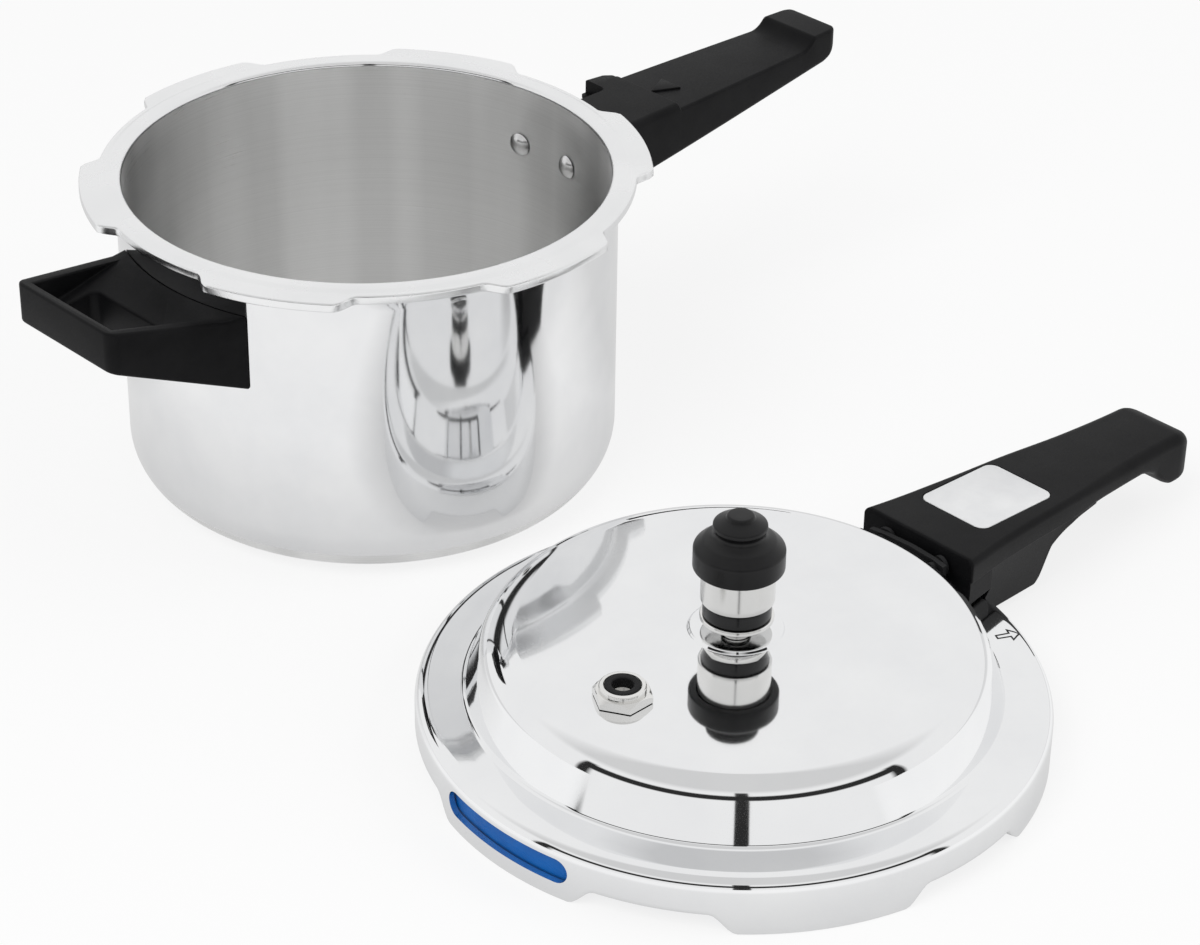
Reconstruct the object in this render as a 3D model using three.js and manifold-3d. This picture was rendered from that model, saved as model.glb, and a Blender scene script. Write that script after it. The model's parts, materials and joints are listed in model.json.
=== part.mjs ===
// A stovetop pressure cooker of about three litres with an outer lid.
// The pot stands with its lid taken off and laid beside it.
// Millimetres, +Z up. The origin is the centre of the pot's base, and +X runs along the pot's long handle.

import * as THREE from "three";
import { mergeVertices } from "three/addons/utils/BufferGeometryUtils.js";
import Module from "manifold-3d";

const wasm = await Module();
wasm.setup();

// Clearances
const SEAT_GAP = 0.3; // between pieces that touch
const RUNNING_GAP = 0.45; // between the weight and the vent tube that it slides on

// Pot
const POT_RADIUS = 91.4; // outside of the wall
const POT_WALL = 2.6;
const POT_FLOOR = 3.4;
const POT_HEIGHT = 122.5; // base to the top of the mouth
const POT_CORNER = 20; // outer radius between wall and base
const MOUTH_ROUNDING = 2.2;
const BEAD_WIDTH = 5.2; // raised ring round the mouth
const BEAD_RISE = 0.9;
const RIM_RADIUS = 98; // flange between the lugs
const RIM_THICKNESS = 3.6;
const RIM_FILLET = 2.5; // under the flange
const LUG_COUNT = 6;
const LUG_RADIUS = 104;
const LUG_ANGLE = 30; // degrees
const LUG_BEARING = 30; // degrees from the long handle to the first lug

// Brackets, rivets and screws
const BRACKET_SHEET = 2;
const TONGUE_SHEET = 2.4;
const TONGUE_HALF_WIDTH = 7;
const RIVET_SHANK = 2.5; // radius
const RIVET_HEAD = 4.6; // radius
const RIVET_DOME = 2.3; // height of the domed head
const RIVET_TAIL_RADIUS = 3.6;
const RIVET_TAIL = 1.5;
const SCREW_SHANK = 2; // radius
const SCREW_HEAD = 3.8; // radius
const SCREW_HEAD_HEIGHT = 2.6;
const SCREW_GRIP = 6; // length beyond the tongue

// Long handle of the pot
const HANDLE_REACH = 148; // from the wall to the tip
const HANDLE_DROP = 17.3; // from the mouth down to the top of the grip
const HANDLE_ROOT_DEPTH = 26;
const HANDLE_TIP_DEPTH = 9.5;
const HANDLE_ROOT_HALF = 20.5;
const HANDLE_COLLAR_HALF = 18.6;
const HANDLE_TIP_HALF = 13.6;
const HANDLE_TIP_ROUNDING = 6;
const HANDLE_TIP_UNDERCUT = 11; // radius of the curve under the tip
const COLLAR_LENGTH = 52.6; // from the wall to the ridge
const COLLAR_RISE = 2.2;
const UPTURN_LENGTH = 21;
const UPTURN_RISE = 4.4;
const UPTURN_RAMP = 6;
const UPTURN_FILLET = 9;
const EAR_HALF = 22.4; // left side of the collar, measured from the handle's middle
const EAR_DEPTH = 7.5;
const NOTCH_SETBACK = 12.5; // from the ridge
const NOTCH_EDGE = 10.8; // from the handle's middle
const NOTCH_DEPTH = 5.5;
const NOTCH_CORNER = 2.5;
const HANDLE_RIVET_DROP = 25.5; // from the mouth
const HANDLE_RIVET_ANGLE = 8.5; // degrees each side of the handle
const HANDLE_PLATE_HALF = 18;
const HANDLE_PLATE_HEIGHT = 15;
const HANDLE_TONGUE = 34; // length from the wall
const HANDLE_SCREW_REACH = 27;
const HANDLE_COUNTERBORE = 7;

// Short helper handle of the pot
const HELPER_REACH = 46;
const HELPER_ROOT_DROP = 17.5; // from the mouth to the root's top
const HELPER_ROOT_DEPTH = 30.5;
const HELPER_BAR_DROP = 8;
const HELPER_BAR_DEPTH = 15.5;
const HELPER_ROOT_HALF = 35;
const HELPER_ROOT_WRAP = 10; // how far the root's sides reach round the wall
const HELPER_BAR_HALF = 27;
const HELPER_BAR_WIDTH = 10;
const HELPER_CORNER = 4;
const HELPER_LIP = 4.6; // width of the raised edge round the dished top
const HELPER_DISH = 13.5; // from the bar's top down to the dish
const FINGER_GAP_WIDTH = 18; // across the gap, from the root block to the bar
const FINGER_GAP_HALF = 19.5;
const FINGER_GAP_CORNER = 3;
const HELPER_RIVET_DROP = 31;
const HELPER_RIVET_ANGLE = 10;
const HELPER_PLATE_HALF = 21;
const HELPER_PLATE_HEIGHT = 15;
const HELPER_TONGUE = 15;
const HELPER_SCREW_REACH = 10.5;
const HELPER_COUNTERBORE = 5;

// Lid
const LID_SHEET = 2.2;
const LID_FIT = 0.4; // between the pot's lugs and the skirt
const FLANGE_HEIGHT = 21; // skirt bottom to the flange
const EDGE_RADIUS = 5; // outer edge of the flange
const DOME_RADIUS = 86;
const DOME_RISE = 22; // flange to the flat top
const SHOULDER_RADIUS = 13;
const DOME_LEAN = 20; // degrees that the dome's wall leans in
const FOOT_FILLET = 2;
const BOSS_RADIUS = 15.6;
const BOSS_RISE = 1.2;
const FOLD_ANGLE = 24; // degrees of skirt that is folded in at each lug
const FOLD_HEIGHT = 6.7;
const FOLD_SLOPE = 4; // run of the curve between a long and a folded stretch
const FOLD_REACH = 5.5; // how far a lug reaches in from the skirt
const WINDOW_ANGLE = 30; // degrees of skirt
const WINDOW_HEIGHT = 9.2;
const WINDOW_CENTRE = 10.8;
const LID_ASIDE = 11.1; // between the lid and the pot's lugs as it lies
const LID_BEARING = 262.07; // degrees from the long handle to the lid's centre

// Sealing ring
const RING_WIDTH = 12;
const RING_LIP = 2;

// Vent tube
const VENT_BORE = 1.7; // radius
const VENT_SHANK = 4; // radius
const VENT_RADIUS = 5.05;
const VENT_RISE = 15; // boss to the nose
const VENT_NOSE = 2.5;
const NUT_HEIGHT = 4.6;
const VENT_NUT_FLATS = 13;
const WASHER_SHEET = 1.5;
const WASHER_MARGIN = 2; // beyond the nut's corners

// Weight valve
const WEIGHT_LIFT = 3.2; // boss to the weight's bottom
const WEIGHT_RADIUS = 12.4;
const WEIGHT_RIM = 1.8;
const BAND_HEIGHT = 5.9;
const BAND_RADIUS = 11.55;
const BAND_SHEET = 1.2;
const WEIGHT_NECK_RADIUS = 8;
const WEIGHT_STEEL = 12.3; // band to the cap
const CAP_OVERLAP = 2.6;
const CAP_RADIUS = 15.3;
const CAP_SIDE = 7.6;
const CAP_HEIGHT = 20;
const CAP_SHOULDER_RADIUS = 7.4;
const KNOB_RADIUS = 9.1;
const KNOB_TOP_RADIUS = 4.8;
const KNOB_HEIGHT = 7.2;
const PIN_RADIUS = 2.6;
const PIN_TIP = 2.2; // length inside the vent's bore
const PIN_LENGTH = 9;

// Safety plug
const PLUG_REACH = 55.5; // from the lid's axis
const PLUG_BEARING = 183; // degrees from the lid handle
const PLUG_FLATS = 17.7;
const PLUG_HEX = 3.2;
const PLUG_HEIGHT = 5.2;
const PLUG_TOP_RADIUS = 7.8;
const PLUG_SHANK = 6; // radius
const PLUG_SEAT_RADIUS = 6.3; // pocket of the rubber insert
const PLUG_SEAT_DEPTH = 3.6;
const PLUG_PASSAGE = 3.55; // radius

// Lid handle
const LID_HANDLE_STANDOFF = 10; // dome to the middle of the handle's front
const LID_FRONT_CURVE = 60; // radius of the hollow front
const LID_HANDLE_HEIGHT = 19.1; // flange to the handle's top at its front
const LID_HANDLE_FALL = 7.2; // of the top, along the handle
const LID_HANDLE_FRONT_DEPTH = 18.1;
const LID_HANDLE_REACH = 126; // skirt to the tip
const LID_HANDLE_FRONT_HALF = 26.2;
const LID_HANDLE_WAIST_HALF = 19.2;
const LID_HANDLE_TIP_HALF = 15.4;
const LID_HANDLE_TIP_ROUNDING = 12;
const LID_GRIP_DEPTH = 8.6;
const WEB_GAP = 1.2; // skirt to the web
const WEB_LENGTH = 33;
const WEB_BOTTOM = 4.2; // above the table
const WEB_FLARE = 28; // run of the curve from the web to the grip
const WEB_FOOT_HALF = 14.6;
const WEB_TOP_HALF = 18.2;
const HOOK_LENGTH = 26;
const HOOK_DEPTH = 19;
const HOOK_BLEND = 8;
const BADGE_LENGTH = 39.5;
const BADGE_WIDTH = 29.7;
const BADGE_CORNER = 4;
const BADGE_SHEET = 1;
const BADGE_REACH = 14.6; // handle's front to the badge
const BADGE_ASIDE = 2.2; // to the left of the handle's middle
const LID_RIVET_ANGLE = 8; // degrees each side of the handle
const LID_RIVET_HEAD = 3;
const LID_RIVET_DOME = 1.5;
const LID_PLATE_HALF = 17;
const LID_PLATE_RISE = 10.2; // flange to the plate
const LID_PLATE_HEIGHT = 6;
const LID_TONGUE = 42;
const LID_SCREW_REACH = 34; // from the dome
const LID_SCREW_GRIP = 3; // length beyond the tongue
const LID_COUNTERBORE = 15;

// Fineness of round forms
const TURN_STEPS = 48;
const SMALL_STEPS = 20;
const ARC_STEPS = 6;

// Colours
const POLISHED = { color: 0xd9dbde, roughness: 0.12, metalness: 1 };
const STEEL = { color: 0xc4c3bf, roughness: 0.25, metalness: 1 };
const BAKELITE = { color: 0x17171a, roughness: 0.5, metalness: 0 };
const RUBBER = { color: 0x26272a, roughness: 0.8, metalness: 0 };
const SEAL = { color: 0x0a5bb8, roughness: 0.55, metalness: 0 };
const BADGE = { color: 0xe4e5e6, roughness: 0.45, metalness: 0.9 };

// Derived sizes of the pot
const potInner = POT_RADIUS - POT_WALL;
const rimTop = POT_HEIGHT - BEAD_RISE;
const rimBottom = rimTop - RIM_THICKNESS;
const handleTop = POT_HEIGHT - HANDLE_DROP;
const plateOuter = POT_RADIUS + SEAT_GAP + BRACKET_SHEET;

// Derived sizes of the lid
const skirtInner = LUG_RADIUS + LID_FIT;
const skirtOuter = skirtInner + LID_SHEET;
const lidTop = FLANGE_HEIGHT + DOME_RISE;
const lidCeiling = lidTop - LID_SHEET;
const bossTop = lidTop + BOSS_RISE;
const shoulder = DOME_RADIUS - SHOULDER_RADIUS;
const shoulderCentre = lidTop - SHOULDER_RADIUS;
const flangeEnd = skirtOuter - EDGE_RADIUS;
const edgeCentre = FLANGE_HEIGHT - EDGE_RADIUS;
const domeLean = radians(DOME_LEAN);
const domeWall = SHOULDER_RADIUS + shoulderCentre * Math.sin(domeLean); // the wall's reach from the shoulder
const domeWallAt = (z) => shoulder + (domeWall - z * Math.sin(domeLean)) / Math.cos(domeLean);
const lidDistance = LUG_RADIUS + skirtOuter + LID_ASIDE;
const lidPlace = new THREE.Vector2(lidDistance, 0).rotateAround(new THREE.Vector2(), radians(LID_BEARING));
const lidHandleFront = DOME_RADIUS + LID_HANDLE_STANDOFF;
const lidHandleTip = skirtOuter + LID_HANDLE_REACH;
const lidHandleTop = FLANGE_HEIGHT + LID_HANDLE_HEIGHT;
const lidHandleTilt = Math.atan2(LID_HANDLE_FALL, lidHandleTip - lidHandleFront);
const weightBottom = bossTop + WEIGHT_LIFT;
const weightShoulder = weightBottom + WEIGHT_RIM + BAND_HEIGHT + WEIGHT_STEEL + CAP_OVERLAP;
const ventTop = bossTop + VENT_RISE;

function radians(degrees) {
  return (degrees * Math.PI) / 180;
}

function point(x, y) {
  return new THREE.Vector2(x, y);
}

// Points along an arc, with angles in degrees.
function arc(x, y, radius, from, to, steps = ARC_STEPS) {
  return Array.from({ length: steps + 1 }, (_, i) => {
    const angle = radians(from + ((to - from) * i) / steps);
    return point(x + radius * Math.cos(angle), y + radius * Math.sin(angle));
  });
}

// A closed mesh as a solid, with shared corners merged and flat triangles dropped.
function toSolid(geometry) {
  const bare = geometry.index ? geometry.toNonIndexed() : geometry.clone();
  bare.deleteAttribute("normal");
  bare.deleteAttribute("uv");
  const merged = mergeVertices(bare, 1e-4);
  const corners = merged.index.array;
  const kept = [];
  for (let i = 0; i < corners.length; i += 3) {
    const triangle = [corners[i], corners[i + 1], corners[i + 2]];
    if (new Set(triangle).size === 3) kept.push(...triangle);
  }
  const mesh = new wasm.Mesh({
    numProp: 3,
    vertProperties: merged.attributes.position.array,
    triVerts: new Uint32Array(kept),
  });
  return new wasm.Manifold(mesh);
}

function toGeometry(solid) {
  const mesh = solid.getMesh();
  const geometry = new THREE.BufferGeometry();
  geometry.setAttribute("position", new THREE.BufferAttribute(mesh.vertProperties, 3));
  geometry.setIndex(new THREE.BufferAttribute(mesh.triVerts, 1));
  geometry.computeVertexNormals();
  return geometry;
}

function joined(pieces, tools = []) {
  const whole = pieces.map(toSolid).reduce((a, b) => a.add(b));
  return toGeometry(tools.map(toSolid).reduce((a, b) => a.subtract(b), whole));
}

function common(pieces, tools = []) {
  const shared = pieces.map(toSolid).reduce((a, b) => a.intersect(b));
  return toGeometry(tools.map(toSolid).reduce((a, b) => a.subtract(b), shared));
}

// A profile of radius and height turned about the Z axis.
function turned(profile, steps = TURN_STEPS) {
  return new THREE.LatheGeometry(profile, steps).rotateX(Math.PI / 2);
}

// A ring with a rectangular section.
function ring(inner, outer, bottom, top, steps = TURN_STEPS) {
  const section = [point(inner, bottom), point(outer, bottom), point(outer, top), point(inner, top)];
  return turned([...section, section[0]], steps);
}

// A full cylinder about the Z axis.
function rod(radius, bottom, top, steps = SMALL_STEPS) {
  return turned([point(0, bottom), point(radius, bottom), point(radius, top), point(0, top)], steps);
}

// A box between two corners.
function block(low, high) {
  const size = high.map((value, i) => value - low[i]);
  const middle = high.map((value, i) => (value + low[i]) / 2);
  return new THREE.BoxGeometry(...size).translate(...middle);
}

function extruded(shape, from, to) {
  const settings = { depth: to - from, bevelEnabled: false, curveSegments: ARC_STEPS };
  return new THREE.ExtrudeGeometry(shape, settings).translate(0, 0, from);
}

// An outline in X and Z, extruded equally to both sides of Y.
function across(outline, half) {
  return extruded(new THREE.Shape(outline), -half, half).rotateX(Math.PI / 2);
}

// An outline in the tangent and Z, extruded outwards along X.
function outward(shape, near, far) {
  const axes = [new THREE.Vector3(0, 1, 0), new THREE.Vector3(0, 0, 1), new THREE.Vector3(1, 0, 0)];
  return extruded(shape, near, far).applyMatrix4(new THREE.Matrix4().makeBasis(...axes));
}

function roundedRectangle(length, width, corner) {
  const [x, y] = [length / 2 - corner, width / 2 - corner];
  return [
    ...arc(x, y, corner, 0, 90),
    ...arc(-x, y, corner, 90, 180),
    ...arc(-x, -y, corner, 180, 270),
    ...arc(x, -y, corner, 270, 360),
  ];
}

// A ring sector, wider at the inner radius than at the outer one, centred on +X.
function sector(inner, outer, degrees, flare, bottom, top) {
  const half = degrees / 2;
  const outline = [...arc(0, 0, outer, -half, half), ...arc(0, 0, inner, half + flare, -half - flare)];
  return extruded(new THREE.Shape(outline), bottom, top);
}

// A hexagonal prism with a round hole.
function hexNut(flats, hole, bottom, top) {
  const hexagon = arc(0, 0, flats / Math.sqrt(3), 0, 300, 5);
  const bore = rod(hole, bottom - 1, top + 1);
  return joined([extruded(new THREE.Shape(hexagon), bottom, top)], [bore]);
}

// A thing along +X from the axis, swung to a bearing.
function swung(geometry, degrees) {
  return geometry.rotateZ(radians(degrees));
}

// A rod along the radius, from near to far.
function radialRod(radius, near, far, height, steps = SMALL_STEPS / 2) {
  return rod(radius, near, far, steps).rotateY(Math.PI / 2).translate(0, 0, height);
}

const cooker = new THREE.Group();
const lid = new THREE.Group();
const helper = new THREE.Group();
lid.position.set(lidPlace.x, lidPlace.y, 0);
helper.rotation.z = Math.PI;
cooker.add(lid, helper);

function addPiece(group, name, geometry, finish) {
  const mesh = new THREE.Mesh(toGeometry(toSolid(geometry)), new THREE.MeshStandardMaterial(finish));
  mesh.name = name;
  group.add(mesh);
  return mesh;
}

// Brackets: a curved plate on a wall with a tongue that runs out into a handle.
// spec: wall, half, bottom, top, tongueEnd, tongueBottom. A pocket is the same form, larger by grow.
function bracketForm(spec, grow = 0, depth = BRACKET_SHEET) {
  const near = spec.wall + SEAT_GAP - grow;
  const far = spec.wall + SEAT_GAP + depth + grow;
  const [low, high] = [spec.bottom - grow, spec.top + grow];
  const plate = common([
    ring(near, far, low, high),
    block([0, -spec.half - grow, low - 1], [far + 1, spec.half + grow, high + 1]),
  ]);
  const tongue = block(
    [near + BRACKET_SHEET / 2, -TONGUE_HALF_WIDTH - grow, spec.tongueBottom - grow],
    [spec.tongueEnd + grow, TONGUE_HALF_WIDTH + grow, spec.tongueBottom + TONGUE_SHEET + grow],
  );
  return joined([plate, tongue]);
}

// A rivet through a wall and its bracket: domed head inside, flat tail outside.
function rivet(wallInner, tailSeat, head, dome) {
  const seat = wallInner - SEAT_GAP * 1.5;
  const rise = (dome * dome + head * head) / (2 * dome);
  const swing = THREE.MathUtils.radToDeg(Math.asin(head / rise));
  const tail = tailSeat + SEAT_GAP;
  const crown = arc(0, seat - dome + rise, rise, 270, 270 + swing, 4);
  const body = [
    point(RIVET_SHANK, seat),
    point(RIVET_SHANK, tail),
    point(RIVET_TAIL_RADIUS, tail),
    point(RIVET_TAIL_RADIUS, tail + RIVET_TAIL),
    point(0, tail + RIVET_TAIL),
  ];
  crown[0].x = 0;
  return turned([...crown, ...body], SMALL_STEPS * 0.6).rotateY(Math.PI / 2);
}

// A screw from below: its head hangs in a counterbore whose floor is at seat, its tip ends at tip.
function screw(seat, tip) {
  const head = seat - SEAT_GAP;
  const low = head - SCREW_HEAD_HEIGHT;
  return turned(
    [
      point(0, low + SCREW_HEAD_HEIGHT / 2),
      point(SCREW_HEAD / 2, low + SCREW_HEAD_HEIGHT / 2),
      point(SCREW_HEAD / 2, low),
      point(SCREW_HEAD, low),
      point(SCREW_HEAD, head),
      point(SCREW_SHANK, head),
      point(SCREW_SHANK, tip),
      point(0, tip),
    ],
    SMALL_STEPS * 0.6,
  );
}

// The stepped hole that a screw sits in.
function screwHole(bottom, seat, tip, x) {
  return joined([
    rod(SCREW_HEAD + SEAT_GAP, bottom, seat),
    rod(SCREW_SHANK + SEAT_GAP, bottom, tip + SEAT_GAP),
  ]).translate(x, 0, 0);
}

// Fastens a handle: bracket, two rivets and a screw. Returns the tools that cut the handle to fit.
function fasten(group, prefix, spec) {
  const tongueTop = spec.tongueBottom + TONGUE_SHEET;
  const tip = tongueTop + spec.screwGrip;
  const screwBore = rod(SCREW_SHANK + SEAT_GAP, spec.tongueBottom - 1, tongueTop + 1);
  const holes = [...rivetHoles(spec), screwBore.translate(spec.screwX, 0, 0)];
  addPiece(group, prefix + "_bracket", joined([bracketForm(spec)], holes), STEEL);
  ["left", "right"].forEach((side, i) => {
    const body = rivet(spec.wallInner, plateReach(spec), spec.rivetHead, spec.rivetDome);
    const angle = (i === 0 ? 1 : -1) * spec.rivetAngle;
    body.translate(0, 0, spec.rivetHeight);
    addPiece(group, prefix + "_rivet_" + side, swung(body, angle), POLISHED);
  });
  addPiece(group, prefix + "_screw", screw(spec.screwSeat, tip).translate(spec.screwX, 0, 0), STEEL);
  const pocketDepth = BRACKET_SHEET + SEAT_GAP + RIVET_TAIL;
  return [
    bracketForm(spec, SEAT_GAP, pocketDepth),
    screwHole(spec.screwBottom, spec.screwSeat, tip, spec.screwX),
  ];
}

function plateReach(spec) {
  return spec.wall + SEAT_GAP + BRACKET_SHEET;
}

// Holes for a bracket's rivets, through the wall that carries it and through its plate.
function rivetHoles(spec, bearing = 0) {
  return [1, -1].map((side) => {
    const far = plateReach(spec) + 2;
    const hole = radialRod(RIVET_SHANK + SEAT_GAP, spec.wallInner - 2, far, spec.rivetHeight);
    return swung(hole, bearing + side * spec.rivetAngle);
  });
}

const longBracket = {
  wall: POT_RADIUS,
  wallInner: potInner,
  half: HANDLE_PLATE_HALF,
  bottom: POT_HEIGHT - HANDLE_RIVET_DROP - HANDLE_PLATE_HEIGHT / 2,
  top: POT_HEIGHT - HANDLE_RIVET_DROP + HANDLE_PLATE_HEIGHT / 2,
  tongueEnd: POT_RADIUS + HANDLE_TONGUE,
  tongueBottom: POT_HEIGHT - HANDLE_RIVET_DROP - TONGUE_SHEET / 2,
  rivetHeight: POT_HEIGHT - HANDLE_RIVET_DROP,
  rivetAngle: HANDLE_RIVET_ANGLE,
  rivetHead: RIVET_HEAD,
  rivetDome: RIVET_DOME,
  screwX: POT_RADIUS + HANDLE_SCREW_REACH,
  screwGrip: SCREW_GRIP,
  screwBottom: handleTop - HANDLE_ROOT_DEPTH,
  screwSeat: handleTop - HANDLE_ROOT_DEPTH + HANDLE_COUNTERBORE + 3,
};

const helperBracket = {
  wall: POT_RADIUS,
  wallInner: potInner,
  half: HELPER_PLATE_HALF,
  bottom: POT_HEIGHT - HELPER_RIVET_DROP - HELPER_PLATE_HEIGHT / 2,
  top: POT_HEIGHT - HELPER_RIVET_DROP + HELPER_PLATE_HEIGHT / 2,
  tongueEnd: POT_RADIUS + HELPER_TONGUE,
  tongueBottom: POT_HEIGHT - HELPER_RIVET_DROP - TONGUE_SHEET / 2,
  rivetHeight: POT_HEIGHT - HELPER_RIVET_DROP,
  rivetAngle: HELPER_RIVET_ANGLE,
  rivetHead: RIVET_HEAD,
  rivetDome: RIVET_DOME,
  screwX: POT_RADIUS + HELPER_SCREW_REACH,
  screwGrip: SCREW_GRIP,
  screwBottom: POT_HEIGHT - HELPER_ROOT_DROP - HELPER_ROOT_DEPTH,
  screwSeat: POT_HEIGHT - HELPER_ROOT_DROP - HELPER_ROOT_DEPTH + HELPER_COUNTERBORE + 4,
};

// The lid's bracket stands against the dome's leaning wall. Its rivet heads seat on the curve inside.
const lidPlateBottom = FLANGE_HEIGHT + LID_PLATE_RISE;
const lidRivetHeight = lidPlateBottom + LID_PLATE_HEIGHT / 2;
const lidRivetCrown = lidRivetHeight + LID_RIVET_HEAD - shoulderCentre;
const lidBracket = {
  wall: domeWallAt(lidPlateBottom),
  wallInner: shoulder + Math.sqrt((SHOULDER_RADIUS - LID_SHEET) ** 2 - lidRivetCrown ** 2),
  half: LID_PLATE_HALF,
  bottom: lidPlateBottom,
  top: lidPlateBottom + LID_PLATE_HEIGHT,
  tongueEnd: DOME_RADIUS + LID_TONGUE,
  tongueBottom: lidPlateBottom,
  rivetHeight: lidRivetHeight,
  rivetAngle: LID_RIVET_ANGLE,
  rivetHead: LID_RIVET_HEAD,
  rivetDome: LID_RIVET_DOME,
  screwX: DOME_RADIUS + LID_SCREW_REACH,
  screwGrip: LID_SCREW_GRIP,
  screwBottom: WEB_BOTTOM - 1,
  screwSeat: WEB_BOTTOM + LID_COUNTERBORE,
};

// Pot body: a drawn vessel with a flat rim, a raised mouth and six bayonet lugs.
function makePotBody() {
  const innerCorner = POT_CORNER - POT_WALL;
  const profile = [
    point(0, 0),
    ...arc(POT_RADIUS - POT_CORNER, POT_CORNER, POT_CORNER, -90, 0),
    ...arc(POT_RADIUS + RIM_FILLET, rimBottom - RIM_FILLET, RIM_FILLET, 180, 90, 3),
    point(RIM_RADIUS, rimBottom),
    point(RIM_RADIUS, rimTop),
    point(potInner + MOUTH_ROUNDING + BEAD_WIDTH, rimTop),
    point(potInner + BEAD_WIDTH, POT_HEIGHT),
    ...arc(potInner + MOUTH_ROUNDING, POT_HEIGHT - MOUTH_ROUNDING, MOUTH_ROUNDING, 90, 180, 3),
    ...arc(potInner - innerCorner, POT_FLOOR + innerCorner, innerCorner, 0, -90),
    point(0, POT_FLOOR),
  ];
  const lugs = Array.from({ length: LUG_COUNT }, (_, i) => {
    const lug = sector(RIM_RADIUS - RIM_FILLET, LUG_RADIUS, LUG_ANGLE, 1.5, rimBottom, rimTop);
    return swung(lug, LUG_BEARING + (360 * i) / LUG_COUNT);
  });
  const holes = [...rivetHoles(longBracket), ...rivetHoles(helperBracket, 180)];
  return joined([turned(profile), ...lugs], holes);
}

// Long handle: a tapering grip with a raised collar at the root and an upturned tip.
function makePotHandle(tools) {
  const root = POT_RADIUS - POT_WALL;
  const ridge = POT_RADIUS + COLLAR_LENGTH;
  const tip = POT_RADIUS + HANDLE_REACH;
  const ramp = tip - UPTURN_LENGTH;
  const collarTop = handleTop + COLLAR_RISE;
  const crest = handleTop + UPTURN_RISE;
  const undercut = handleTop - HANDLE_TIP_DEPTH + HANDLE_TIP_UNDERCUT;
  const brow = crest - undercut;
  const side = [
    point(root, handleTop - HANDLE_ROOT_DEPTH),
    ...arc(tip - HANDLE_TIP_UNDERCUT, undercut, HANDLE_TIP_UNDERCUT, -80, 0, 4),
    ...arc(tip - brow, crest - brow, brow, 30, 90, 2),
    point(ramp + UPTURN_RAMP, crest),
    ...arc(ramp - UPTURN_FILLET / 4, handleTop + UPTURN_FILLET, UPTURN_FILLET, 315, 270, 3),
    point(ridge, handleTop),
    point(ridge - COLLAR_RISE / 2, collarTop),
    point(root, collarTop),
  ];
  const half = HANDLE_TIP_HALF - HANDLE_TIP_ROUNDING;
  const plan = [
    point(root, -HANDLE_ROOT_HALF),
    point(ridge, -HANDLE_COLLAR_HALF),
    ...arc(tip - HANDLE_TIP_ROUNDING, -half, HANDLE_TIP_ROUNDING, -90, 0, 4),
    ...arc(tip - HANDLE_TIP_ROUNDING, half, HANDLE_TIP_ROUNDING, 0, 90, 4),
    point(ridge, HANDLE_COLLAR_HALF),
    point(root, HANDLE_ROOT_HALF),
  ];
  const notchEnd = ridge - NOTCH_SETBACK;
  const notchOutline = [
    point(root, EAR_HALF + 1),
    point(root, NOTCH_EDGE),
    ...arc(notchEnd - NOTCH_CORNER, NOTCH_EDGE + NOTCH_CORNER, NOTCH_CORNER, 270, 360, 3),
    point(notchEnd, EAR_HALF + 1),
  ];
  const notch = extruded(new THREE.Shape(notchOutline), collarTop - NOTCH_DEPTH, collarTop + 1);
  const earOutline = [
    point(notchEnd - NOTCH_CORNER, 0),
    point(ridge - COLLAR_RISE / 2, 0),
    point(ridge - COLLAR_RISE / 2, HANDLE_COLLAR_HALF),
    point(ridge - COLLAR_RISE * 2, EAR_HALF - COLLAR_RISE / 2),
    point(notchEnd, EAR_HALF),
    point(notchEnd - NOTCH_CORNER, EAR_HALF),
  ];
  const ear = extruded(new THREE.Shape(earOutline), collarTop - EAR_DEPTH, collarTop);
  const room = rod(POT_RADIUS + SEAT_GAP, 0, POT_HEIGHT, TURN_STEPS);
  const span = [extruded(new THREE.Shape(plan), 0, POT_HEIGHT), across(side, HANDLE_ROOT_HALF + 1)];
  return joined([common(span), ear], [room, notch, ...tools]);
}

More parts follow.
